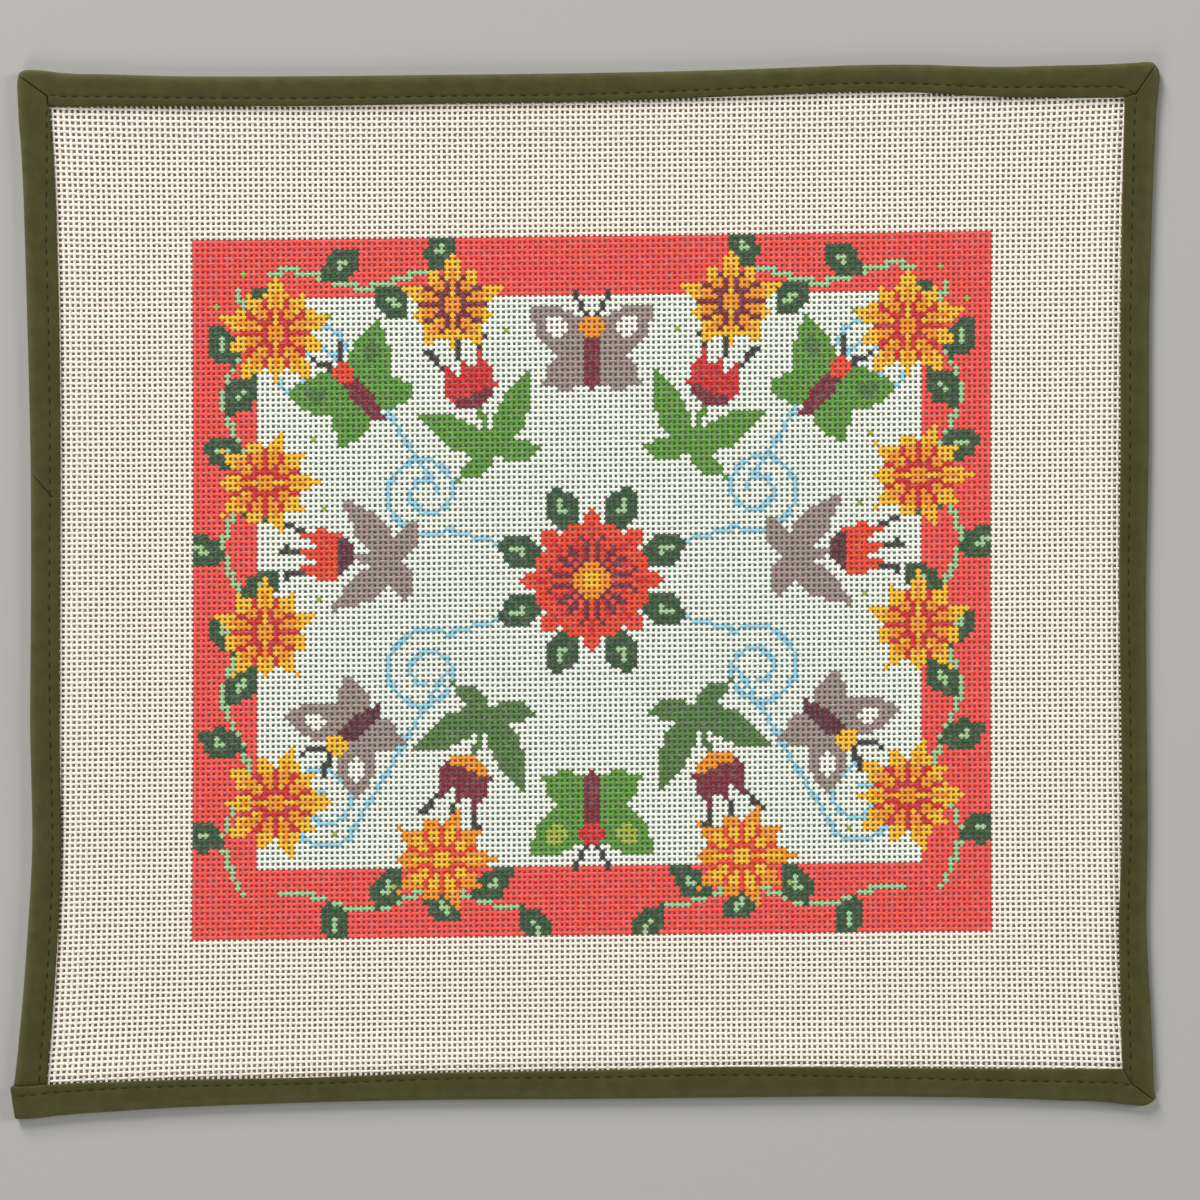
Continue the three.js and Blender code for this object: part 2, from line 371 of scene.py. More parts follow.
# Shares of the tulip's size, angles off its stem, and widths in threads
tulip = {
    "leaves": [(0.8, 0.27, 42), (0.42, 0.18, 105)],   # length, width and angle
    "stem": 0.5,
    "stemWidth": 1.5,
    "cupFoot": 0.46,
    "cupHalfWidth": 0.24,
    "cupHeight": 0.36,
    "cupPoints": 0.16,             # of the three points above the cup's height
    "base": 0.14,
    "stamen": {"from": (9, 0.7), "to": (13, 1.12), "width": 1.0, "tip": 0.9},   # angle and distance
}


def paintTulip(foot, size, angle, cup, base, leaf):
    # a cup with three points on a stem between two long leaves
    for side in (-1, 1):
        for length, width, lean in tulip["leaves"]:
            paintLeaf(foot, size * length, size * width, angle + side * lean, leaf)
    paintLine([foot, ahead(foot, angle, size * tulip["stem"])], tulip["stemWidth"], leaf)
    across, along = turned(ahead(foot, angle, size * tulip["cupFoot"]), angle)
    half = size * tulip["cupHalfWidth"]
    threePoints = np.cos(1.5 * math.pi * np.clip(across / half, -1, 1)) ** 2
    rim = size * (tulip["cupHeight"] + tulip["cupPoints"] * threePoints)
    lower = half * np.sqrt(np.clip(1 - ((along - half) / half) ** 2, 0, 1))
    inCup = (along > 0) & (along < rim) & (np.abs(across) <= np.where(along < half, lower, half))
    stamen = tulip["stamen"]
    for side in (-1, 0, 1):
        reaches = (stamen["from"], stamen["to"])
        ends = [ahead(foot, angle + side * lean, size * share) for lean, share in reaches]
        paintLine(ends, stamen["width"], "charcoal")
        paintEllipse(ends[1], stamen["tip"], stamen["tip"], 0, "charcoal")
    fill(inCup, cup)
    fill(inCup & (along < size * tulip["base"]), base)


# Shares of the butterfly's size, angles off its body, and the feelers' width in threads
butterfly = {
    "wings": [(0.68, 0.36, 50), (0.48, 0.3, 120)],    # length, width and angle
    "spot": {"at": 0.4, "half": (0.075, 0.1)},
    "feeler": {"from": 0.26, "length": 0.3, "angle": 28, "width": 1.0},
    "body": (0.085, 0.3),
    "head": {"at": 0.25, "radius": 0.1},
}


def paintButterfly(centre, size, angle, wing, spot, body, head):
    feeler = butterfly["feeler"]
    for side in (-1, 1):
        for length, width, lean in butterfly["wings"]:
            paintLeaf(centre, size * length, size * width, angle + side * lean, wing)
        wingAngle = angle + side * butterfly["wings"][0][2]
        halfWidth, halfLength = (size * share for share in butterfly["spot"]["half"])
        spotAt = ahead(centre, wingAngle, size * butterfly["spot"]["at"])
        paintEllipse(spotAt, halfWidth, halfLength, wingAngle, spot)
        foot = ahead(centre, angle, size * feeler["from"])
        tip = ahead(foot, angle + side * feeler["angle"], size * feeler["length"])
        paintLine([foot, tip], feeler["width"], "charcoal")
    halfWidth, halfLength = (size * share for share in butterfly["body"])
    paintEllipse(centre, halfWidth, halfLength, angle, body)
    radius = size * butterfly["head"]["radius"]
    paintEllipse(ahead(centre, angle, size * butterfly["head"]["at"]), radius, radius, 0, head)


scroll = {"width": 1.05, "stepsPerTurn": 36, "innermost": 0.2}   # innermost as a share of the radius


def paintScroll(centre, radius, turns, start, side):
    # a line that winds out from its middle
    places = []
    steps = turns * scroll["stepsPerTurn"]
    for i in range(int(steps) + 1):
        share = i / steps
        reach = radius * (scroll["innermost"] + (1 - scroll["innermost"]) * share)
        places.append(ahead(centre, start + side * share * turns * 360, reach))
    paintLine(places, scroll["width"], "skyBlue")
    return places[-1]


# Where the motifs are: threads across and up from the middle, sizes in threads, angles in degrees.
# The motifs of the sides are painted once on the right and once, mirrored, on the left.
middle = (middleColumn, middleRow + 1)
scrolls = [(31, 17, 1), (31, -17, -1), (52, 40, -1), (50, -41, 1)]   # across, up and winding
scrollSize = {"radius": 8.5, "turns": 1.6, "tailTo": (0.55, 0.42)}
vines = {
    "side": {"at": 66.5, "sway": 2.2, "wave": 4.4, "run": range(-58, 56), "every": 9.0, "leaf": 9.0,
             "turn": 1},
    "lower": {"at": -59.5, "sway": 1.8, "wave": 4.5, "run": range(58, 12, -1), "every": 9.0, "leaf": 8.6,
              "turn": -1},
    "upper": {"at": 57.0, "sway": 1.6, "wave": 4.5, "run": range(60, 26, -1), "every": 9.5, "leaf": 8.4,
              "turn": 1},
}
# across, up, size, angle, then the colours of its parts
butterflies = [
    (43, 35, 21, 38, ("brightGreen", "midGreen", "maroon", "fireRed")),
    (44, -27, 20, 130, ("taupe", "cream", "plum", "yellow")),
]
tulips = [
    (18, 24, 20, 20, ("red", "maroon", "brightGreen")),
    (19, -24, 20, 160, ("maroon", "orange", "midGreen")),
    (36, 4, 19, 84, ("fireRed", "plum", "taupe")),
]
bursts = [
    (59, 47, 10, 0, ("yellow", "orange", "red")),
    (61, 19, 9.5, 18, ("yellow", "orange", "red")),
    (61, -9, 9.5, 0, ("yellow", "orange", "red")),
    (59, -41, 10, 18, ("yellow", "orange", "red")),
    (26, 52, 9.0, 0, ("yellow", "orange", "maroon")),
    (28, -52, 9.5, 18, ("orange", "yellow", "fireRed")),
]
burstPetals = 10
dots = [(70, 52), (65, 58), (49, 50), (52, 27), (50, 14), (51, -3), (48, -47), (16, 47), (37, -57)]
dotRadius = 0.9
middleButterflies = [
    (42, 22, 0, ("taupe", "cream", "maroon", "orange")),
    (-42, 22, 180, ("brightGreen", "lime", "maroon", "red")),
]
wreath = {"leaves": 8, "radius": 10, "leafLength": 9.5, "leafWidth": 5.6}
blossom = {"radius": 13, "petals": 16, "rings": [(3.6, "orange"), (1.6, "yellow")]}


def fromMiddle(across, up):
    return middle[0] + across, middle[1] + up


def paintBorder():
    band = design["band"]
    border = (columnAt < band["left"]) | (columnAt > columns - 1 - band["right"])
    border |= (rowAt < band["bottom"]) | (rowAt > rows - 1 - band["top"])
    fill(border, "coral")


def paintRibbons(side):
    for across, up, winding in scrolls:
        start = 0 if winding > 0 else 180
        centre = fromMiddle(side * across, up)
        end = paintScroll(centre, scrollSize["radius"], scrollSize["turns"], start, side * winding)
        shareAcross, shareUp = scrollSize["tailTo"]
        paintLine([end, fromMiddle(side * across * shareAcross, up * shareUp)], scroll["width"], "skyBlue")


def paintVines(side):
    for name, row in vines.items():
        places = []
        for step in row["run"]:
            if name == "side":
                away = row["at"] + row["sway"] * math.sin(step / row["wave"])
                places.append(fromMiddle(side * away, step))
            else:
                away = row["at"] + row["sway"] * math.cos(step / row["wave"])
                places.append(fromMiddle(side * step, away))
        paintVine(places, side, row["every"], row["leaf"], row["turn"])


def paintSideMotifs(side):
    for across, up, size, angle, colours in butterflies:
        paintButterfly(fromMiddle(side * across, up), size, side * angle, *colours)
    for across, up, size, angle, colours in tulips:
        paintTulip(fromMiddle(side * across, up), size, side * angle, *colours)
    for across, up, radius, angle, colours in bursts:
        paintBurst(fromMiddle(side * across, up), radius, burstPetals, angle, *colours)
    for across, up in dots:
        paintEllipse(fromMiddle(side * across, up), dotRadius, dotRadius, 0, "lime")


def paintMiddle():
    # a butterfly above and one below the wreath, the wreath itself, and the blossom in it
    for up, size, angle, colours in middleButterflies:
        paintButterfly(fromMiddle(0, up), size, angle, *colours)
    step = 360 / wreath["leaves"]
    for i in range(wreath["leaves"]):
        angle = (i + 0.5) * step
        foot = ahead(middle, angle, wreath["radius"])
        paintLeaf(foot, wreath["leafLength"], wreath["leafWidth"], angle, "leafGreen", "paleGreen")
    paintBurst(middle, blossom["radius"], blossom["petals"], 0, "fireRed", "red", "maroon")
    for radius, colour in blossom["rings"]:
        paintEllipse(middle, radius, radius, 0, colour)


def paintDesign():
    # in this order, because each motif covers what was painted before it
    paintBorder()
    for side in (-1, 1):
        paintRibbons(side)
        paintVines(side)
        paintSideMotifs(side)
    paintMiddle()


paintDesign()
print("design painted on", columns, "by", rows, "crossings")


def paintAt(warp, weft):
    # red, green, blue and cover of the paint at whole thread numbers
    palette = np.array([(*paintColours[name], 1.0) for name in colourNames])
    row = np.clip(weft - design["firstWeft"], 0, rows - 1)
    column = np.clip(warp - design["firstWarp"], 0, columns - 1)
    found = palette[chart[row, column]]
    inside = (warp >= design["firstWarp"]) & (warp <= design["lastWarp"])
    inside &= (weft >= design["firstWeft"]) & (weft <= design["lastWeft"])
    return np.where(inside[:, None], found, (1.0, 1.0, 1.0, 0.0))


# The thread pieces: each is half of the warps or of the wefts

paintSoaked = 0.4                  # share of the paint that reaches the underside
# Of the flat maps for baking: their margin, the threads' part for the face side, the gap between strips
bakeMap = {"edge": 0.004, "topShare": 0.8, "bandGap": 0.03}


def threadBundle(name, segments, count):
    # threads of whole segments side by side, one pitch apart, before they are laid in the cloth
    half = thread["width"] / weave["warpPitch"] / 2
    tall = thread["thickness"] / 2
    belly = tall * thread["belly"]
    shoulder = half * thread["flat"]
    section = [(-shoulder, tall), (-half, belly), (0, -tall), (half, belly), (shoulder, tall)]
    bpy.ops.object.select_all(action="DESELECT")
    bpy.ops.mesh.primitive_circle_add(vertices=len(section), radius=1, fill_type="NOTHING")
    made = bpy.context.object
    made.name = name
    for vertex, (x, z) in zip(made.data.vertices, section):
        vertex.co = (x, 0, z)
    bpy.ops.object.mode_set(mode="EDIT")
    bpy.ops.mesh.select_all(action="SELECT")
    bpy.ops.mesh.extrude_region_move(TRANSFORM_OT_translate={"value": (0, 1, 0)})
    bpy.ops.object.mode_set(mode="OBJECT")
    repeat(made, segments, (0, 1, 0), True)
    bpy.ops.object.mode_set(mode="EDIT")
    bpy.ops.mesh.select_all(action="SELECT")
    bpy.ops.mesh.fill_holes(sides=0)
    bpy.ops.mesh.select_all(action="SELECT")
    bpy.ops.mesh.normals_make_consistent(inside=False)
    bpy.ops.object.mode_set(mode="OBJECT")
    repeat(made, count, (1, 0, 0), False)
    return made


def repeat(obj, count, offset, merged):
    array = obj.modifiers.new("repeat", "ARRAY")
    array.count = count
    array.use_relative_offset = False
    array.use_constant_offset = True
    array.constant_offset_displace = offset
    array.use_merge_vertices = merged
    array.merge_threshold = 0.01       # copies are a whole unit apart
    activate(obj)
    bpy.ops.object.modifier_apply(modifier=array.name)


def swayOf(count, segments):
    # slow drift of each thread to either side, at each of its crossings
    reach = np.arange(segments + 1)[None, :]
    sway = np.zeros((count, segments + 1))
    for length in thread["swayWaves"]:
        phase = rng.uniform(0, 2 * math.pi, (count, 1))
        sway += np.sin(2 * math.pi * reach / length + phase) * rng.uniform(*thread["waveHeights"], (count, 1))
    sway += rng.normal(0, thread["swayJitter"], sway.shape)
    return sway * thread["sway"] / thread["swaySpread"]


def layThreads(name, first, count, upright):
    # first is the number of the leftmost warp or, for wefts, of the topmost one counted down
    segments = (weave["wefts"] if upright else weave["warps"]) - 1
    obj = threadBundle(name, segments, count)
    mesh = obj.data
    co = np.empty(len(mesh.vertices) * 3)
    mesh.vertices.foreach_get("co", co)
    co = co.reshape(-1, 3)
    strand = np.rint(co[:, 0]).astype(int)
    ring = np.rint(co[:, 1]).astype(int)
    side = co[:, 0] - strand
    sway = swayOf(count, segments)[strand, ring]
    width = (1 + thread["slub"] * rng.normal(0, 1, (count, segments + 1)))[strand, ring]
    lateral = side * width + sway
    if upright:
        warp, weft = first + strand, ring
        place = crossingPlace(first + strand + lateral, ring.astype(float))
        over = np.where((warp + weft) % 2 == 0, 1.0, -1.0)
    else:
        warp, weft = ring, first - strand
        place = crossingPlace(ring.astype(float), first - strand - lateral)
        over = np.where((warp + weft) % 2 == 0, -1.0, 1.0)
    z = clothLevel[weft, warp] + over * weave["rise"] + co[:, 2]
    laid = np.stack([place[0], place[1], z], axis=1)
    addThreadMaps(mesh, co, laid, first, segments, upright)
    mesh.vertices.foreach_set("co", laid.ravel())
    mesh.update()
    return obj


def addThreadMaps(mesh, unit, laid, first, segments, upright):
    # the paint at both ends of a face, a map along and round the thread, and a flat map for baking
    faceCount, loopCount = len(mesh.polygons), len(mesh.loops)
    centre = np.empty(faceCount * 3)
    mesh.polygons.foreach_get("center", centre)
    centre = centre.reshape(-1, 3)
    normal = np.empty(faceCount * 3)
    mesh.polygons.foreach_get("normal", normal)
    below = normal.reshape(-1, 3)[:, 2] < -1e-4    # not the upright caps
    sizes = np.empty(faceCount, dtype=int)
    mesh.polygons.foreach_get("loop_total", sizes)
    corner = np.empty(loopCount, dtype=int)
    mesh.loops.foreach_get("vertex_index", corner)
    faceOf = np.repeat(np.arange(faceCount), sizes)
    strand = np.rint(centre[:, 0]).astype(int)
    segment = np.clip(np.floor(centre[:, 1]), 0, segments - 1).astype(int)
    for label, ring in (("paintHere", segment), ("paintNext", segment + 1)):
        warp, weft = (first + strand, ring) if upright else (ring, first - strand)
        colour = paintAt(warp, weft)
        colour[below, 3] *= paintSoaked
        layer = mesh.attributes.new(label, "FLOAT_COLOR", "FACE")
        layer.data.foreach_set("color", colour.astype(np.float32).ravel())
    writeThreadMaps(mesh, unit, laid, corner, segment[faceOf], strand[faceOf], below[faceOf])


def writeThreadMaps(mesh, unit, laid, corner, segment, strand, below):
    # all of the last four hold a value for every corner of every face
    along = unit[corner, 1] - segment
    local = unit[corner, 0] - strand
    around = np.where(below, 1 - local, local)
    threadMap = mesh.uv_layers.new(name="threadMap")
    threadMap.data.foreach_set("uv", np.stack([along, around], axis=1).astype(np.float32).ravel())
    low, high = laid[:, :2].min(axis=0), laid[:, :2].max(axis=0)
    flat = (laid[corner, :2] - low) / (high - low)
    topShare, edge = bakeMap["topShare"], bakeMap["edge"]
    underside = topShare + edge / 2 + flat[:, 0] * (1 - topShare - edge)
    flat[:, 0] = np.where(below, underside, flat[:, 0] * (topShare - edge))
    layer = mesh.uv_layers.new(name="OFBake")
    layer.data.foreach_set("uv", flat.astype(np.float32).ravel())


# Helpers for the nodes of a material


def newNode(tree, kind, **values):
    node = tree.nodes.new(kind)
    for key, value in values.items():
        setattr(node, key, value)
    return node


fibreNoise = {"fibreDetail": 4.0, "fibreRoughness": 0.65, "mottleDetail": 3.0}


def fineFibresGroup():
    # matted cotton fibres: a height, and a mottle between 0 and 1
    tree = bpy.data.node_groups.new("fineFibres", "ShaderNodeTree")
    tree.interface.new_socket("Vector", in_out="INPUT", socket_type="NodeSocketVector")
    tree.interface.new_socket("Fibre Scale", in_out="INPUT", socket_type="NodeSocketFloat")
    tree.interface.new_socket("Mottle Scale", in_out="INPUT", socket_type="NodeSocketFloat")
    tree.interface.new_socket("Height", in_out="OUTPUT", socket_type="NodeSocketFloat")
    tree.interface.new_socket("Mottle", in_out="OUTPUT", socket_type="NodeSocketFloat")
    entry = newNode(tree, "NodeGroupInput")
    leave = newNode(tree, "NodeGroupOutput")
    fibre = newNode(tree, "ShaderNodeTexNoise", noise_dimensions="3D")
    fibre.inputs["Detail"].default_value = fibreNoise["fibreDetail"]
    fibre.inputs["Roughness"].default_value = fibreNoise["fibreRoughness"]
    mottle = newNode(tree, "ShaderNodeTexNoise", noise_dimensions="3D")
    mottle.inputs["Detail"].default_value = fibreNoise["mottleDetail"]
    for node, scale in ((fibre, "Fibre Scale"), (mottle, "Mottle Scale")):
        tree.links.new(entry.outputs["Vector"], node.inputs["Vector"])
        tree.links.new(entry.outputs[scale], node.inputs["Scale"])
    tree.links.new(fibre.outputs["Fac"], leave.inputs["Height"])
    tree.links.new(mottle.outputs["Fac"], leave.inputs["Mottle"])
    return tree


fineFibres = fineFibresGroup()


def fibresIn(tree, source, fibreScale, mottleScale):
    group = newNode(tree, "ShaderNodeGroup", node_tree=fineFibres)
    group.inputs["Fibre Scale"].default_value = fibreScale
    group.inputs["Mottle Scale"].default_value = mottleScale
    tree.links.new(source, group.inputs["Vector"])
    return group


def feed(tree, socket, value):
    # a number, a colour or another node's output into a socket
    if isinstance(value, (int, float)):
        socket.default_value = value
    elif isinstance(value, tuple):
        socket.default_value = (*value, 1)
    else:
        tree.links.new(value, socket)


def mathNode(tree, operation, first, second=None, clamp=False):
    node = newNode(tree, "ShaderNodeMath", operation=operation, use_clamp=clamp)
    feed(tree, node.inputs[0], first)
    if second is not None:
        feed(tree, node.inputs[1], second)
    return node.outputs["Value"]


def ranged(tree, value, low, high, toLow=0.0, toHigh=1.0):
    node = newNode(tree, "ShaderNodeMapRange", interpolation_type="SMOOTHSTEP")
    tree.links.new(value, node.inputs["Value"])
    for name, number in (("From Min", low), ("From Max", high), ("To Min", toLow), ("To Max", toHigh)):
        node.inputs[name].default_value = number
    return node.outputs["Result"]


def mixColour(tree, factor, first, second):
    # sockets 6 and 7 of a Mix node are its two colours
    node = newNode(tree, "ShaderNodeMix", data_type="RGBA")
    feed(tree, node.inputs["Factor"], factor)
    feed(tree, node.inputs[6], first)
    feed(tree, node.inputs[7], second)
    return node.outputs[2]


def mixNumber(tree, factor, first, second):
    # sockets 2 and 3 of a Mix node are its two numbers
    node = newNode(tree, "ShaderNodeMix", data_type="FLOAT")
    feed(tree, node.inputs["Factor"], factor)
    feed(tree, node.inputs[2], first)
    feed(tree, node.inputs[3], second)
    return node.outputs[0]


def addBump(tree, height, strength, distance):
    bump = newNode(tree, "ShaderNodeBump")
    bump.inputs["Strength"].default_value = strength
    bump.inputs["Distance"].default_value = distance
    tree.links.new(height, bump.inputs["Height"])
    tree.links.new(bump.outputs["Normal"], tree.nodes["Principled BSDF"].inputs["Normal"])


canvasFinish = {
    "cotton": linear(246, 236, 222),
    "cottonShade": linear(240, 230, 216),
    "cottonRoughness": 0.85,
    "paintRoughness": 0.62,
    "fibreScale": 9000.0,
    "mottleScale": 420.0,
    "changeAt": 0.5,               # of one crossing's colour to the next, from 0 to 1 between them
    "changeBlur": 0.06,
    "changeWobble": 0.3,
    "wobbleScale": 1100.0,
    "thinPaint": (0.34, 0.5, 0.94),   # mottle from and to, and the cover where it is thinnest
    "twists": (3.0, 4.0),          # of the plied yarn, along one pitch and round the thread
    "twistDepth": 0.35,            # against the fibres on it
    "twistHeight": 0.03 * mm,
    "bump": 0.6,
    "sheen": 0.08,
    "specular": 0.3,
}


def paintOnCotton(tree, places, fibres, along):
    # the yarn's colour, and how much of it the paint covers
    wobble = newNode(tree, "ShaderNodeTexNoise")
    wobble.inputs["Scale"].default_value = canvasFinish["wobbleScale"]
    tree.links.new(places, wobble.inputs["Vector"])
    shift = mathNode(tree, "MULTIPLY", wobble.outputs["Fac"], canvasFinish["changeWobble"])
    change = canvasFinish["changeAt"] + canvasFinish["changeWobble"] / 2
    blur = canvasFinish["changeBlur"]
    passed = ranged(tree, mathNode(tree, "ADD", along, shift), change - blur, change + blur)
    here = newNode(tree, "ShaderNodeAttribute", attribute_name="paintHere")
    after = newNode(tree, "ShaderNodeAttribute", attribute_name="paintNext")
    paint = mixColour(tree, passed, here.outputs["Color"], after.outputs["Color"])
    cover = mixNumber(tree, passed, here.outputs["Alpha"], after.outputs["Alpha"])
    # the paint is thin in places, and lets the cotton through
    thin = ranged(tree, fibres.outputs["Mottle"], *canvasFinish["thinPaint"])
    covered = mathNode(tree, "MULTIPLY", cover, thin)
    cotton = mixColour(tree, fibres.outputs["Mottle"], canvasFinish["cottonShade"], canvasFinish["cotton"])
    return mixColour(tree, covered, cotton, paint), covered


def yarnHeight(tree, fibres, along, around):
    # plied yarn: slanting ridges along the thread, with fibres over them
    twistsAlong, twistsAround = canvasFinish["twists"]
    onward = mathNode(tree, "MULTIPLY", along, twistsAlong)
    slant = mathNode(tree, "ADD", onward, mathNode(tree, "MULTIPLY", around, twistsAround))
    ridge = mathNode(tree, "SINE", mathNode(tree, "MULTIPLY", slant, 2 * math.pi))
    twist = mathNode(tree, "MULTIPLY", ridge, canvasFinish["twistDepth"])
    return mathNode(tree, "ADD", twist, fibres.outputs["Height"])


def canvasMaterial():
    made = bpy.data.materials.new("paintedCanvas")
    made.use_nodes = True
    tree = made.node_tree
    shader = tree.nodes["Principled BSDF"]
    places = newNode(tree, "ShaderNodeTexCoord").outputs["Object"]
    threadMap = newNode(tree, "ShaderNodeUVMap", uv_map="threadMap").outputs["UV"]
    split = newNode(tree, "ShaderNodeSeparateXYZ")
    tree.links.new(threadMap, split.inputs["Vector"])
    along, around = split.outputs["X"], split.outputs["Y"]
    fibres = fibresIn(tree, places, canvasFinish["fibreScale"], canvasFinish["mottleScale"])
    colour, covered = paintOnCotton(tree, places, fibres, along)
    tree.links.new(colour, shader.inputs["Base Color"])
    rough = mixNumber(tree, covered, canvasFinish["cottonRoughness"], canvasFinish["paintRoughness"])
    tree.links.new(rough, shader.inputs["Roughness"])
    height = yarnHeight(tree, fibres, along, around)
    addBump(tree, height, canvasFinish["bump"], canvasFinish["twistHeight"])
    shader.inputs["Sheen Weight"].default_value = canvasFinish["sheen"]
    shader.inputs["Specular IOR Level"].default_value = canvasFinish["specular"]
    return made


def finishThreads(obj, material):
    obj.data.materials.append(material)
    activate(obj)
    bpy.ops.object.shade_smooth()
    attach(obj, "root")
    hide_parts("canvas")


def makeCanvas():
    material = canvasMaterial()
    warps, wefts = weave["warps"], weave["wefts"]
    halfWarps, lowWefts = warps // 2, wefts // 2
    bundles = [
        {"name": "canvasWarpLeft", "first": 0, "count": halfWarps, "upright": True},
        {"name": "canvasWarpRight", "first": halfWarps, "count": warps - halfWarps, "upright": True},
        {"name": "canvasWeftLower", "first": lowWefts - 1, "count": lowWefts, "upright": False},
        {"name": "canvasWeftUpper", "first": wefts - 1, "count": wefts - lowWefts, "upright": False},
    ]
    for row in bundles:
        obj = layThreads(row["name"], row["first"], row["count"], row["upright"])
        finishThreads(obj, material)
        print(row["name"], len(obj.data.vertices), "points")


makeCanvas()


# The binding: one folded tape, swept through the sections of its solid

tape = {
    "openedWidth": 25 * mm,        # of the finished tape, opened out along its fold
    "seamSink": 0.1 * mm,          # a section whose top lies this much lower is a mitre's seam
    "closeStep": 0.12 * mm,        # between rings of points at a seam or crease
    "openStep": 0.84 * mm,         # between rings away from one
    "stepGrowth": 0.16,
    "layer": 0.7 * mm,             # thickness of the cloth above and below the slot
    "slotFrom": 1.7 * mm,          # from the fold to the slot that the canvas lies in
    "grip": 0.7 * mm,              # how much closer the tape's two lips are than its solid's slot
    "foldReach": 2.2 * mm,         # how far in the rounding of the outer fold goes
    "foldPoints": 9,
    "edgePoints": 4,
    "bodyPoints": 5,               # between the fold's rounding and the stitches
    "hemPoints": 2,                # between the stitches and the inner edge's rounding
    "slotTip": 0.6,                # where the slot ends in a point, as a share of slotFrom
    "edgeRounding": (0.42 * mm, 0.5 * mm),   # across and down, at the turned-under inner edge
    "footBevel": (0.3 * mm, 0.25 * mm),      # across and up, at its lower inner edge
    "crown": 0.16 * mm,            # bulge of the upper face between its fold and the stitches
    "crownSkew": 0.8,              # below 1, the bulge is highest nearer to the stitches
    "hemPuff": 0.1 * mm,
    "hemHeld": 0.5,                # share of the puff that is pressed down beside a stitch
    "waviness": 0.06 * mm,
    "waveLengths": (11 * mm, 27 * mm, 70 * mm),
    "wavesOfEach": 3,
    "waveHeading": 0.9,            # most that a wave turns from the tape's length, in radians
    "creaseAngle": 55,             # edges blunter than this are shaded smooth
}
stitching = {
    "pitch": 4.2 * mm,
    "length": 2.7 * mm,
    "width": 0.46 * mm,
    "height": 0.34 * mm,
    "proud": 0.05 * mm,            # of the thread's middle above the cloth that it presses down
    "groove": 0.16 * mm,           # depth of the cloth under the middle of a stitch
    "grooveBetween": 0.2,          # share of that depth between two stitches
    "grooveReach": 0.55 * mm,
    "rows": (0.22 * mm, 0.5 * mm, 0.9 * mm),   # points of the tape to either side of the stitches
    "fromEnd": 1.6 * mm,           # bare tape beyond the last stitch
    "slant": 3,                    # degrees, usual turn of a stitch off its line
    "sides": 6,
    "rings": 5,
    "bluntness": 0.6,              # of a stitch's ends, below 1 for blunter
    "dip": 0.5,                    # of its ends into the cloth, as a share of its height
}
# How far in from the tape's inner edge the stitches run, as shares along each strip and millimetres
stitchLines = {
    "left": [(0, 2.6), (0.3, 3.1), (0.6, 3.6), (0.84, 3.8), (0.91, 2.7), (0.966, 1.2), (1, 0.8)],
    "top": [(0, 3.8), (0.15, 2.8), (0.5, 2.4), (0.8, 3.0), (1, 4.1)],
    "right": [(0, 3.8), (0.3, 3.4), (1, 3.1)],
    "bottom": [(0, 5.0), (0.3, 3.0), (0.6, 2.1), (0.9, 2.3), (1, 3.3)],
}
# Where each mitre's folded edge turns off to the canvas's corner, in the order of the tape
mitreBends = [(-195.9 * mm, 179.9 * mm), (200.6 * mm, 180.9 * mm), (199.2 * mm, -180.1 * mm)]
mitre = {
    "depth": 0.6 * mm,
    "halfWidth": 0.24 * mm,
    "step": 0.14 * mm,             # of the strip on top above its seam, and of the other below
    "stepReach": 1.3 * mm,
    "lean": 5.5 * mm,              # how far along a strip its rings lean over to follow the mitre
    "turn": 3.0 * mm,              # how far from the mitre its stitches turn towards the bend
}
# The slanting furrow where two lengths of tape are joined, on the left strip
join = {
    "from": (-201.5 * mm, 42.2 * mm),
    "to": (-194.4 * mm, 34.0 * mm),
    "depth": 0.5 * mm,
    "halfWidth": 0.26 * mm,
    "ridge": 0.14 * mm,
    "ridgeAt": 0.6 * mm,           # from the furrow, on its upper side
    "lean": 8 * mm,                # how far along the strip its rings slant with the join
}
# The cap that closes the tape's first end: how squarely it faces the lower edge of the panel, how far it
# may tilt, and how far in from the left it reaches
startCap = {"facing": 0.9, "tilt": 0.01, "reach": 14 * mm}
# How deep that end is pressed down under the last one, over what length, and how much longer it is made
startTuck = {"depth": 0.7 * mm, "reach": 0.9 * mm, "longer": 0.55 * mm}


def tapeSections():
    # fold and inner-edge points in the order in which the tape is sewn on, read off its solid
    solid = bmesh.new()
    solid.from_mesh(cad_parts["binding"].data)
    bmesh.ops.remove_doubles(solid, verts=solid.verts, dist=mergeWithin)
    solid.normal_update()
    height = cadBox[1][2]
    ringOf = {}
    for face in solid.faces:
        atLeft = face.calc_center_median().x < cadBox[0][0] + startCap["reach"]
        upright = abs(face.normal.z) < startCap["tilt"]
        if atLeft and upright and face.normal.y < -startCap["facing"]:
            ringOf.update(dict.fromkeys(face.verts, 0))
    queue = list(ringOf)
    for vertex in queue:
        for edge in vertex.link_edges:
            other = edge.other_vert(vertex)
            if other not in ringOf:
                ringOf[other] = ringOf[vertex] + 1
                queue.append(other)
    rings = [[] for _ in range(max(ringOf.values()) + 1)]
    for vertex, ring in ringOf.items():
        rings[ring].append(vertex.co.copy())
    solid.free()
    return [sectionOf(ring, height) for ring in rings]


def sectionOf(ring, height):
    # the two points of a ring's mid-height and foot that are farthest apart are its fold and inner edge
    middles = [c for c in ring if abs(c.z - height / 2) < tiny]
    feet = [c for c in ring if c.z < tiny]
    pairs = [(middle.xy, foot.xy) for middle in middles for foot in feet]
    fold, inner = max(pairs, key=lambda pair: (pair[0] - pair[1]).length)
    top = max(c.z for c in ring)
    return {"fold": fold, "inner": inner, "seam": top < height - tape["seamSink"]}


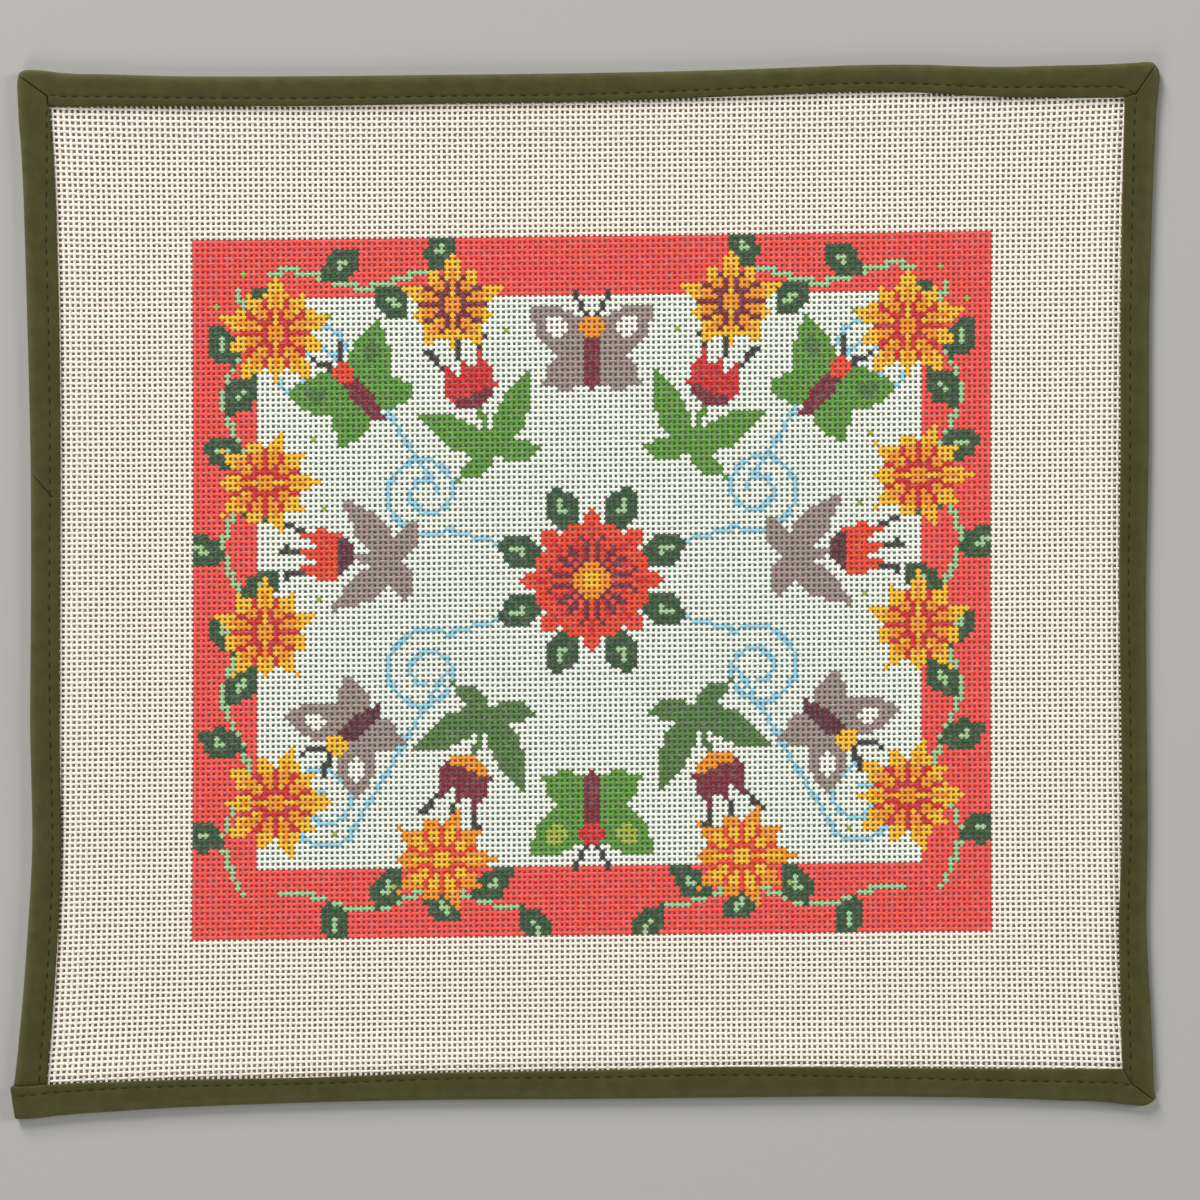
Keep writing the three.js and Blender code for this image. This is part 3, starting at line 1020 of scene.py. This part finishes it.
def smoothThrough(knots, points, stations):
    # a smooth curve through the points, which lie at the knots, read at the stations
    slopes = np.gradient(points, knots, axis=0)
    at = np.clip(np.searchsorted(knots, stations, side="right") - 1, 0, len(knots) - 2)
    run = (knots[at + 1] - knots[at])[:, None]
    t = (stations - knots[at])[:, None] / run
    start = (2 * t ** 3 - 3 * t ** 2 + 1) * points[at] + (t ** 3 - 2 * t ** 2 + t) * run * slopes[at]
    end = (3 * t ** 2 - 2 * t ** 3) * points[at + 1] + (t ** 3 - t ** 2) * run * slopes[at + 1]
    return start + end


def distanceTo(points, start, end):
    # from points in the plane to a stretch between two places
    start, end = np.array(start), np.array(end)
    run = end - start
    share = np.clip(((points - start) @ run) / (run @ run), 0, 1)
    return np.linalg.norm(points - start - share[..., None] * run, axis=-1)


def lengthAlong(places):
    steps = np.linalg.norm(np.diff(places, axis=0), axis=1)
    return np.concatenate([[0], np.cumsum(steps)])


def stationsOf(length, stretches):
    # places along a strip, close together in the given stretches and near them
    places = [0.0]
    while places[-1] < length:
        here = places[-1] + tape["closeStep"]
        away = min(max(start - here, here - end, 0) for start, end in stretches)
        places.append(places[-1] + min(tape["closeStep"] + tape["stepGrowth"] * away, tape["openStep"]))
    return np.array(places) * (length / places[-1])


def stripOf(name, sections):
    # the tape along one side of the panel, from seam to seam
    fold = np.array([section["fold"] for section in sections])
    inner = np.array([section["inner"] for section in sections])
    knots = (lengthAlong(fold) + lengthAlong(inner)) / 2
    stretches = [(0, 0), (knots[-1], knots[-1])]
    strip = {"name": name}
    if name == "left":
        joinHeight = (join["from"][1] + join["to"][1]) / 2
        joinAt = np.interp(joinHeight, (fold[:, 1] + inner[:, 1]) / 2, knots)
        stretches.append((joinAt - join["ridgeAt"], joinAt + 2 * join["ridgeAt"]))
    stations = stationsOf(knots[-1], stretches)
    strip["stations"] = stations
    if name == "left":
        strip["joinRing"] = np.argmin(np.abs(stations - joinAt))
    strip["fold"] = smoothThrough(knots, fold, stations)
    strip["inner"] = smoothThrough(knots, inner, stations)
    across = strip["inner"] - strip["fold"]
    strip["width"] = np.linalg.norm(across, axis=1)
    strip["inwards"] = across / strip["width"][:, None]
    return strip


def nearRing(strip, ring, reach):
    # 1 at a ring, and less with every ring farther from it
    return np.exp(-((strip["stations"] - strip["stations"][ring]) / reach) ** 2)


def setMitres(strip, number):
    # the mitre at either end, and whether the strip lies over (1) or under (-1) its neighbour there
    strip["mitres"] = []
    if number > 0:
        strip["mitres"].append({"ring": 0, "bend": np.array(mitreBends[number - 1]), "side": 1})
    if number < len(mitreBends):
        strip["mitres"].append({"ring": -1, "bend": np.array(mitreBends[number]), "side": -1})


def leanOver(strip, points, insets):
    # rings near a mitre follow its folded edge: from the fold to the bend, and on to the inner edge
    for row in strip["mitres"]:
        ring, bend = row["ring"], row["bend"]
        fold, inner = strip["fold"][ring], strip["inner"][ring]
        bendAt = strip["width"][ring] - strip["stitch"][ring]
        inset = insets[ring][:, None]
        outside = fold + (bend - fold) * inset / bendAt
        inside = bend + (inner - bend) * (inset - bendAt) / strip["stitch"][ring]
        lean = np.where(inset < bendAt, outside, inside) - points[ring]
        points = points + nearRing(strip, ring, mitre["lean"])[:, None, None] * lean
    if "joinRing" in strip:
        points = leanToJoin(strip, points)
    return points


def leanToJoin(strip, points):
    # rings near the join slant as it does
    ring = strip["joinRing"]
    across, up = zip(join["from"], join["to"])
    lean = np.interp(points[ring][:, 0], across, up) - points[ring][:, 1]
    slanted = points.copy()
    slanted[..., 1] += nearRing(strip, ring, join["lean"])[:, None] * lean
    return slanted


def setStitches(strip):
    # the line that the stitches follow, which meets each mitre at its bend, and their even spacing
    table = np.array(stitchLines[strip["name"]])
    share = strip["stations"] / strip["stations"][-1]
    inset = np.interp(share, table[:, 0], table[:, 1]) * mm
    side = strip["inner"][-1] - strip["inner"][0]
    square = np.array([side[1], -side[0]]) / np.linalg.norm(side)
    stitch = inset / np.abs(strip["inwards"] @ square)
    for row in strip["mitres"]:
        ring = row["ring"]
        outside = np.linalg.norm(row["bend"] - strip["fold"][ring])
        inside = np.linalg.norm(row["bend"] - strip["inner"][ring])
        goal = strip["width"][ring] * inside / (outside + inside)
        stitch = stitch + (goal - stitch[ring]) * nearRing(strip, ring, mitre["turn"])
    strip["stitch"] = stitch
    line = strip["inner"] - strip["inwards"] * stitch[:, None]
    strip["line"] = leanOver(strip, line[:, None], (strip["width"] - stitch)[:, None])[:, 0]
    strip["run"] = lengthAlong(strip["line"])
    bare = stitching["fromEnd"] if strip["name"] == "bottom" else 0
    strip["stitches"] = round((strip["run"][-1] - bare) / stitching["pitch"])
    strip["pace"] = (strip["run"][-1] - bare) / strip["stitches"]


def tapeStrips():
    sections = tapeSections()
    ends = [0] + [i for i, section in enumerate(sections) if section["seam"]] + [len(sections) - 1]
    strips = []
    for number, name in enumerate(stitchLines):
        strip = stripOf(name, sections[ends[number]:ends[number + 1] + 1])
        setMitres(strip, number)
        setStitches(strip)
        strips.append(strip)
    return strips


def spacedBetween(start, end, count):
    # that many columns evenly spaced between two
    return start + (end - start) * np.arange(1, count + 1) / (count + 1)


def tapeProfile(strip):
    # insets from the fold and heights of one closed outline at each station, all round the tape
    height = cadBox[1][2]
    width = strip["width"][:, None]
    sewn = width - strip["stitch"][:, None]
    rows = np.array(stitching["rows"])
    roundAcross, roundDown = tape["edgeRounding"]
    bevelAcross, bevelUp = tape["footBevel"]
    low, high = tape["layer"], height - tape["layer"]
    turn = np.radians(np.linspace(0, 90, tape["edgePoints"]))
    edgeIn = width - roundAcross * (1 - np.cos(turn))
    edgeUp = height - roundDown * (1 - np.sin(turn))
    hemIn = spacedBetween(width - roundAcross, sewn + rows[-1], tape["hemPoints"])
    grooveIn = sewn + np.concatenate([rows[::-1], [0], -rows])
    bodyIn = spacedBetween(sewn - rows[-1], tape["foldReach"], tape["bodyPoints"])
    foldTurn = np.radians(np.linspace(90, -90, tape["foldPoints"]))
    foldIn = tape["foldReach"] * (1 - np.cos(foldTurn))
    foldUp = height / 2 * (1 + np.sin(foldTurn))
    underRows = [sewn - rows[1::-1], sewn, sewn + rows[:2]]
    underIn = np.hstack([(tape["foldReach"] + sewn) / 2, *underRows, width - bevelAcross])
    outline = [
        (edgeIn, edgeUp), (hemIn, height), (grooveIn, height), (bodyIn, height), (foldIn, foldUp),
        (underIn, 0), (width, bevelUp), (width, low + tape["grip"] / 2), (tape["slotFrom"], low),
        (tape["slotTip"] * tape["slotFrom"], height / 2),
        (tape["slotFrom"], high), (width, high - tape["grip"] / 2),
    ]
    columns = [np.broadcast_arrays(inset, up, width) for inset, up in outline]
    insets = np.hstack([column[0] for column in columns])
    heights = np.hstack([column[1] for column in columns])
    return insets, heights


def slowWaves(along, around, seed):
    # gentle unevenness, as a few waves that cross each other, between -1 and 1
    waves = np.random.default_rng(seed)
    total = np.zeros_like(along)
    for length in tape["waveLengths"] * tape["wavesOfEach"]:
        heading = waves.uniform(-tape["waveHeading"], tape["waveHeading"])
        phase = waves.uniform(0, 2 * math.pi)
        travelled = along * math.cos(heading) + around * math.sin(heading)
        total += np.sin(2 * math.pi * travelled / length + phase)
    return total / (tape["wavesOfEach"] * len(tape["waveLengths"]))


def stitchBeat(strip):
    # 1 at the middle of every stitch, 0 half way between two
    return 0.5 - 0.5 * np.cos(2 * math.pi * strip["run"][:, None] / strip["pace"])


def sewnDepth(strip, toStitch):
    # how far each stitch draws the cloth in
    near = np.exp(-(toStitch / stitching["grooveReach"]) ** 2)
    sewnTo = strip["pace"] * strip["stitches"]
    held = np.clip(1 - (strip["run"][:, None] - sewnTo) / stitching["width"], 0, 1)
    between = stitching["grooveBetween"]
    return stitching["groove"] * near * held * (between + (1 - between) * np.sqrt(stitchBeat(strip)))


def clothSwell(strip, toStitch):
    # the crown of the tape's body, and the hem puffed up between the stitches
    body = np.clip(toStitch / (strip["width"] - strip["stitch"])[:, None], 0, 1)
    hem = np.clip(-toStitch / strip["stitch"][:, None], 0, 1)
    crown = tape["crown"] * np.sin(math.pi * body ** tape["crownSkew"])
    return crown + tape["hemPuff"] * np.sin(math.pi * hem) * (1 - tape["hemHeld"] * stitchBeat(strip))


def mitreLift(strip, points):
    # a groove along each mitre's folded edge, and a step up to the strip that lies on top
    lift = np.zeros(points.shape[:2])
    for row in strip["mitres"]:
        fold, inner = strip["fold"][row["ring"]], strip["inner"][row["ring"]]
        away = np.minimum(distanceTo(points, fold, row["bend"]), distanceTo(points, row["bend"], inner))
        lift -= mitre["depth"] * np.exp(-(away / mitre["halfWidth"]) ** 2)
        lift += row["side"] * mitre["step"] * np.exp(-away / mitre["stepReach"])
    return lift


def joinLift(points):
    # the furrow where two lengths of tape meet, with a low ridge on its upper side
    start, run = np.array(join["from"]), np.array(join["to"]) - join["from"]
    aside = (points - start) @ np.array([-run[1], run[0]]) / np.linalg.norm(run)
    away = distanceTo(points, join["from"], join["to"])
    beyondEnd = away - np.abs(aside)
    furrow = np.exp(-(away / join["halfWidth"]) ** 2)
    ridge = np.exp(-((aside - join["ridgeAt"]) ** 2 + beyondEnd ** 2) / join["halfWidth"] ** 2)
    return join["ridge"] * ridge - join["depth"] * furrow


def shapeStrip(strip, number):
    # points of one strip, its upper face shaped by the stitches, the mitres and the join
    insets, heights = tapeProfile(strip)
    half = cadBox[1][2] / 2
    straight = strip["fold"][:, None] + strip["inwards"][:, None] * insets[..., None]
    points = leanOver(strip, straight, insets)
    upper = np.clip((heights - half) / half, 0, 1)
    upper[:, -2:] = 0              # the inside of the slot
    under = (heights < tiny) & (insets > tape["foldReach"] + tiny)
    toStitch = strip["width"][:, None] - insets - strip["stitch"][:, None]
    depth = sewnDepth(strip, toStitch)
    along = np.broadcast_to(strip["stations"][:, None], insets.shape)
    lift = clothSwell(strip, toStitch) - depth + mitreLift(strip, points)
    lift += tape["waviness"] * slowWaves(along, insets, number)
    if strip["name"] == "left":
        lift += joinLift(points)
        lift -= startTuck["depth"] * np.exp(-(along / startTuck["reach"]) ** 2)
    heights = heights + lift * upper + depth * under
    return np.concatenate([points, heights[..., None]], axis=2), insets


def wearAndHighlightOf(strip, insets):
    # 1 where the tape is palest: its outer fold, and less at the inner edge. The paleness is partly rubbed
    #                             wear and partly a painted highlight, where the rounded fold and edge would
    #                             catch the light
    fold = np.exp(-(insets / tapeFinish["wornHighlightReach"]) ** 2)
    inner = np.exp(-((strip["width"][:, None] - insets) / tapeFinish["wornHighlightEdge"]) ** 2)
    return fold + tapeFinish["edgeWearAndHighlight"] * inner


def mapsOf(strip, number, count, grid, before):
    # the cloth's own map in metres, and the same laid flat in a band of the baking map
    closed = np.concatenate([grid, grid[:, :1]], axis=1)
    steps = np.linalg.norm(np.diff(closed, axis=1), axis=2)
    around = np.concatenate([np.zeros((len(grid), 1)), np.cumsum(steps, axis=1)], axis=1)
    along = np.broadcast_to(strip["stations"][:, None], around.shape)
    clothMap = np.stack([before + along, around], axis=2)
    edge, gap = bakeMap["edge"], bakeMap["bandGap"]
    bakeAlong = edge + (1 - 2 * edge) * along / along[-1]
    bakeAcross = (number + gap + (1 - 2 * gap) * around / around[:, -1:]) / count
    return clothMap, np.stack([bakeAlong, bakeAcross], axis=2)


def cornersOf(cells):
    # a map's value at the four corners of every face, in the faces' order
    corners = [cells[:-1, :-1], cells[:-1, 1:], cells[1:, 1:], cells[1:, :-1]]
    return np.stack(corners, axis=2).reshape(-1, 2)


def tubeFaces(ringCount, ringSize):
    # walls from each ring to the next, and a cap at either end
    here = np.arange(ringSize)
    beside = (here + 1) % ringSize
    ring = np.arange(ringCount - 1)[:, None] * ringSize
    walls = np.stack([ring + here, ring + beside, ring + ringSize + beside, ring + ringSize + here], axis=2)
    lastRing = (ringCount - 1) * ringSize
    caps = [here[::-1].tolist(), (lastRing + here).tolist()]
    return walls.reshape(-1, 4).tolist() + caps


def makeBinding(strips):
    # all four strips in one closed mesh, with a cap at each end of the tape
    grids, wearAndHighlight, clothMaps, bakeMaps = [], [], [], []
    before = 0.0
    for number, strip in enumerate(strips):
        grid, insets = shapeStrip(strip, number)
        clothMap, flatMap = mapsOf(strip, number, len(strips), grid, before)
        clothMaps.append(cornersOf(clothMap))
        bakeMaps.append(cornersOf(flatMap))
        shared = 1 if number else 0    # a strip's first ring is the last one of the strip before
        grids.append(grid[shared:])
        wearAndHighlight.append(wearAndHighlightOf(strip, insets)[shared:])
        before += strip["stations"][-1]
    points = np.concatenate(grids)
    ringCount, ringSize = points.shape[:2]
    mesh = bpy.data.meshes.new("bindingTape")
    mesh.from_pydata(points.reshape(-1, 3).tolist(), [], tubeFaces(ringCount, ringSize))
    obj = bpy.data.objects.new("bindingTape", mesh)
    scene.collection.objects.link(obj)
    for name, maps in (("tapeMap", clothMaps), ("OFBake", bakeMaps)):
        capCorners = np.repeat(maps[0][:1], 2 * ringSize, axis=0)
        layer = mesh.uv_layers.new(name=name)
        layer.data.foreach_set("uv", np.concatenate([*maps, capCorners]).astype(np.float32).ravel())
    attribute = mesh.attributes.new("wearAndHighlight", "FLOAT", "POINT")
    attribute.data.foreach_set("value", np.concatenate(wearAndHighlight).astype(np.float32).ravel())
    mesh.validate()
    mesh.update()
    return obj


tapeFinish = {
    "colour": linear(68, 67, 34),
    "shade": linear(61, 60, 29),
    # the pale colour of the fold and inner edge, partly rubbed wear and partly a painted highlight
    "wornHighlight": linear(94, 93, 56),
    "wornHighlightReach": 2.4 * mm,         # from the outer fold
    "wornHighlightEdge": 0.5 * mm,          # from the inner edge
    "edgeWearAndHighlight": 0.3,               # of the inner edge, against the fold's
    "mostWornHighlight": 0.5,               # share of the pale colour, wear and painted highlight, where the tape is palest
    "patchyWearAndHighlight": (0.3, 0.65, 0.6),   # mottle from and to, and the least share of the wear and painted highlight
    "roughness": 0.88,
    "specular": 0.15,
    "sheen": 0.06,
    "sheenRoughness": 0.5,
    "fibreScale": 5200.0,
    "mottleScale": 190.0,
    "streaks": (150.0, 800.0, 1.0),   # of the dye, per metre along and across
    "streakDetail": 3.0,
    "streakShare": 0.3,            # against the mottle
    "dyeFrom": 0.34,               # of the mottle, where the shade begins and ends to give way
    "dyeTo": 0.66,
    "threadsPerMetre": 2400.0,
    "weaveHeight": 0.05 * mm,
    "fibreDepth": 0.8,             # against the weave
    "bump": 0.5,
}
sewingThread = {
    # a dark olive, made darker than the thread itself as painted shade of the groove and needle holes that
    # the stitches lie in
    "colour": linear(33, 35, 16),
    "shade": 0.7,                  # of the colour, in its mottle
    "roughness": 0.75,
    "specular": 0.2,
    "fibreScale": 12000.0,
    "mottleScale": 300.0,
    "fibreHeight": 0.03 * mm,
    "bump": 0.5,
}


def clothWeaveGroup():
    # over and under threads of a plain weave on a map in metres, as a height from 0 to 1
    tree = bpy.data.node_groups.new("clothWeave", "ShaderNodeTree")
    tree.interface.new_socket("Vector", in_out="INPUT", socket_type="NodeSocketVector")
    tree.interface.new_socket("Threads", in_out="INPUT", socket_type="NodeSocketFloat")
    tree.interface.new_socket("Height", in_out="OUTPUT", socket_type="NodeSocketFloat")
    entry = newNode(tree, "NodeGroupInput")
    leave = newNode(tree, "NodeGroupOutput")
    split = newNode(tree, "ShaderNodeSeparateXYZ")
    tree.links.new(entry.outputs["Vector"], split.inputs["Vector"])
    waves = []
    for axis in ("X", "Y"):
        place = mathNode(tree, "MULTIPLY", split.outputs[axis], entry.outputs["Threads"])
        waves.append(mathNode(tree, "SINE", mathNode(tree, "MULTIPLY", place, math.pi)))
    product = mathNode(tree, "MULTIPLY", waves[0], waves[1])
    tree.links.new(mathNode(tree, "ABSOLUTE", product), leave.inputs["Height"])
    return tree


clothWeave = clothWeaveGroup()


def tapeColour(tree, tapeMap, fibres):
    # dye in faint streaks along the tape, paler at its fold and inner edge: partly rubbed wear, partly a
    # painted highlight
    stretch = newNode(tree, "ShaderNodeMapping")
    stretch.inputs["Scale"].default_value = tapeFinish["streaks"]
    tree.links.new(tapeMap, stretch.inputs["Vector"])
    streaks = newNode(tree, "ShaderNodeTexNoise")
    streaks.inputs["Scale"].default_value = 1.0
    streaks.inputs["Detail"].default_value = tapeFinish["streakDetail"]
    tree.links.new(stretch.outputs["Vector"], streaks.inputs["Vector"])
    share = tapeFinish["streakShare"]
    mottled = mathNode(tree, "MULTIPLY", fibres.outputs["Mottle"], 1 - share)
    mottle = mathNode(tree, "ADD", mottled, mathNode(tree, "MULTIPLY", streaks.outputs["Fac"], share))
    dye = ranged(tree, mottle, tapeFinish["dyeFrom"], tapeFinish["dyeTo"])
    dyed = mixColour(tree, dye, tapeFinish["shade"], tapeFinish["colour"])
    wearAndHighlight = newNode(tree, "ShaderNodeAttribute", attribute_name="wearAndHighlight").outputs["Fac"]
    patchy = ranged(tree, fibres.outputs["Mottle"], *tapeFinish["patchyWearAndHighlight"])
    patches = mathNode(tree, "MULTIPLY", wearAndHighlight, patchy)
    wornHighlightShare = mathNode(tree, "MULTIPLY", patches, tapeFinish["mostWornHighlight"], True)
    return mixColour(tree, wornHighlightShare, dyed, tapeFinish["wornHighlight"])


def tapeMaterial():
    made = bpy.data.materials.new("oliveTape")
    made.use_nodes = True
    tree = made.node_tree
    shader = tree.nodes["Principled BSDF"]
    places = newNode(tree, "ShaderNodeTexCoord").outputs["Object"]
    tapeMap = newNode(tree, "ShaderNodeUVMap", uv_map="tapeMap").outputs["UV"]
    fibres = fibresIn(tree, places, tapeFinish["fibreScale"], tapeFinish["mottleScale"])
    tree.links.new(tapeColour(tree, tapeMap, fibres), shader.inputs["Base Color"])
    weaving = newNode(tree, "ShaderNodeGroup", node_tree=clothWeave)
    weaving.inputs["Threads"].default_value = tapeFinish["threadsPerMetre"]
    tree.links.new(tapeMap, weaving.inputs["Vector"])
    matted = mathNode(tree, "MULTIPLY", fibres.outputs["Height"], tapeFinish["fibreDepth"])
    height = mathNode(tree, "ADD", weaving.outputs["Height"], matted)
    addBump(tree, height, tapeFinish["bump"], tapeFinish["weaveHeight"])
    shader.inputs["Roughness"].default_value = tapeFinish["roughness"]
    shader.inputs["Specular IOR Level"].default_value = tapeFinish["specular"]
    shader.inputs["Sheen Weight"].default_value = tapeFinish["sheen"]
    shader.inputs["Sheen Roughness"].default_value = tapeFinish["sheenRoughness"]
    return made


def stitchMaterial():
    made = bpy.data.materials.new("sewingThread")
    made.use_nodes = True
    tree = made.node_tree
    shader = tree.nodes["Principled BSDF"]
    places = newNode(tree, "ShaderNodeTexCoord").outputs["Object"]
    fibres = fibresIn(tree, places, sewingThread["fibreScale"], sewingThread["mottleScale"])
    deep = tuple(sewingThread["shade"] * c for c in sewingThread["colour"])
    colour = mixColour(tree, fibres.outputs["Mottle"], deep, sewingThread["colour"])
    tree.links.new(colour, shader.inputs["Base Color"])
    addBump(tree, fibres.outputs["Height"], sewingThread["bump"], sewingThread["fibreHeight"])
    shader.inputs["Roughness"].default_value = sewingThread["roughness"]
    shader.inputs["Specular IOR Level"].default_value = sewingThread["specular"]
    return made


def oneStitch(name):
    # a short length of thread with blunt ends, along Y
    bpy.ops.object.select_all(action="DESELECT")
    sides, rings = stitching["sides"], stitching["rings"]
    bpy.ops.mesh.primitive_uv_sphere_add(segments=sides, ring_count=rings, radius=0.5)
    obj = bpy.context.object
    obj.name = name
    obj.scale = (stitching["width"], stitching["height"], stitching["length"])
    obj.rotation_euler = (math.radians(90), 0, 0)
    bpy.ops.object.transform_apply(location=False, rotation=True, scale=True)
    for vertex in obj.data.vertices:
        share = 2 * vertex.co.y / stitching["length"]
        blunt = abs(share) ** stitching["bluntness"]
        vertex.co.y = math.copysign(blunt, share) * stitching["length"] / 2
    return obj


def makeStitches(strip, surface, material, side):
    # one stitch, shaped once, and set along the strip's line of stitches, above (1) or below (-1)
    obj = oneStitch("stitches" + strip["name"].capitalize() + ("Upper" if side > 0 else "Under"))
    repeat(obj, strip["stitches"], (0, 1, 0), False)
    mesh = obj.data
    co = np.empty(len(mesh.vertices) * 3)
    mesh.vertices.foreach_get("co", co)
    co = co.reshape(-1, 3)
    number = np.rint(co[:, 1]).astype(int)
    local = co - number[:, None] * np.array([0, 1, 0])
    line, run = strip["line"], strip["run"]
    middles = strip["pace"] * (np.arange(strip["stitches"]) + 0.5)
    slant = rng.normal(0, math.radians(stitching["slant"]), strip["stitches"])[number]
    along = middles[number] + local[:, 1] * np.cos(slant)
    aside = local[:, 0] + local[:, 1] * np.sin(slant)
    x, y = (np.interp(along, run, line[:, i]) for i in (0, 1))
    toInner = [np.interp(along, run, strip["inwards"][:, i]) for i in (0, 1)]
    levels = []
    for middle in middles:
        place = [np.interp(middle, run, line[:, i]) for i in (0, 1)]
        above = Vector((*place, side * rayHeight))
        levels.append(surface.ray_cast(above, Vector((0, 0, -side)))[0].z)
    dip = stitching["dip"] * stitching["height"] * (2 * local[:, 1] / stitching["length"]) ** 4
    z = np.array(levels)[number] + local[:, 2] + side * (stitching["proud"] - dip)
    placed = np.stack([x + aside * toInner[0], y + aside * toInner[1], z], axis=1)
    mesh.vertices.foreach_set("co", placed.ravel())
    mesh.update()
    mesh.materials.append(material)
    activate(obj)
    bpy.ops.object.shade_smooth()
    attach(obj, "root")


def dressBinding():
    strips = tapeStrips()
    for edge in ("fold", "inner"):
        strips[0][edge][0, 1] -= startTuck["longer"]
    obj = makeBinding(strips)
    obj.data.materials.append(tapeMaterial())
    activate(obj)
    bpy.ops.object.shade_smooth_by_angle(angle=math.radians(tape["creaseAngle"]))
    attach(obj, "root")
    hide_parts("binding")
    surface = treeOf(obj.data)
    material = stitchMaterial()
    for strip in strips:
        for side in (1, -1):
            makeStitches(strip, surface, material, side)
    print("stitches", sum(strip["stitches"] for strip in strips), "on each side")


dressBinding()
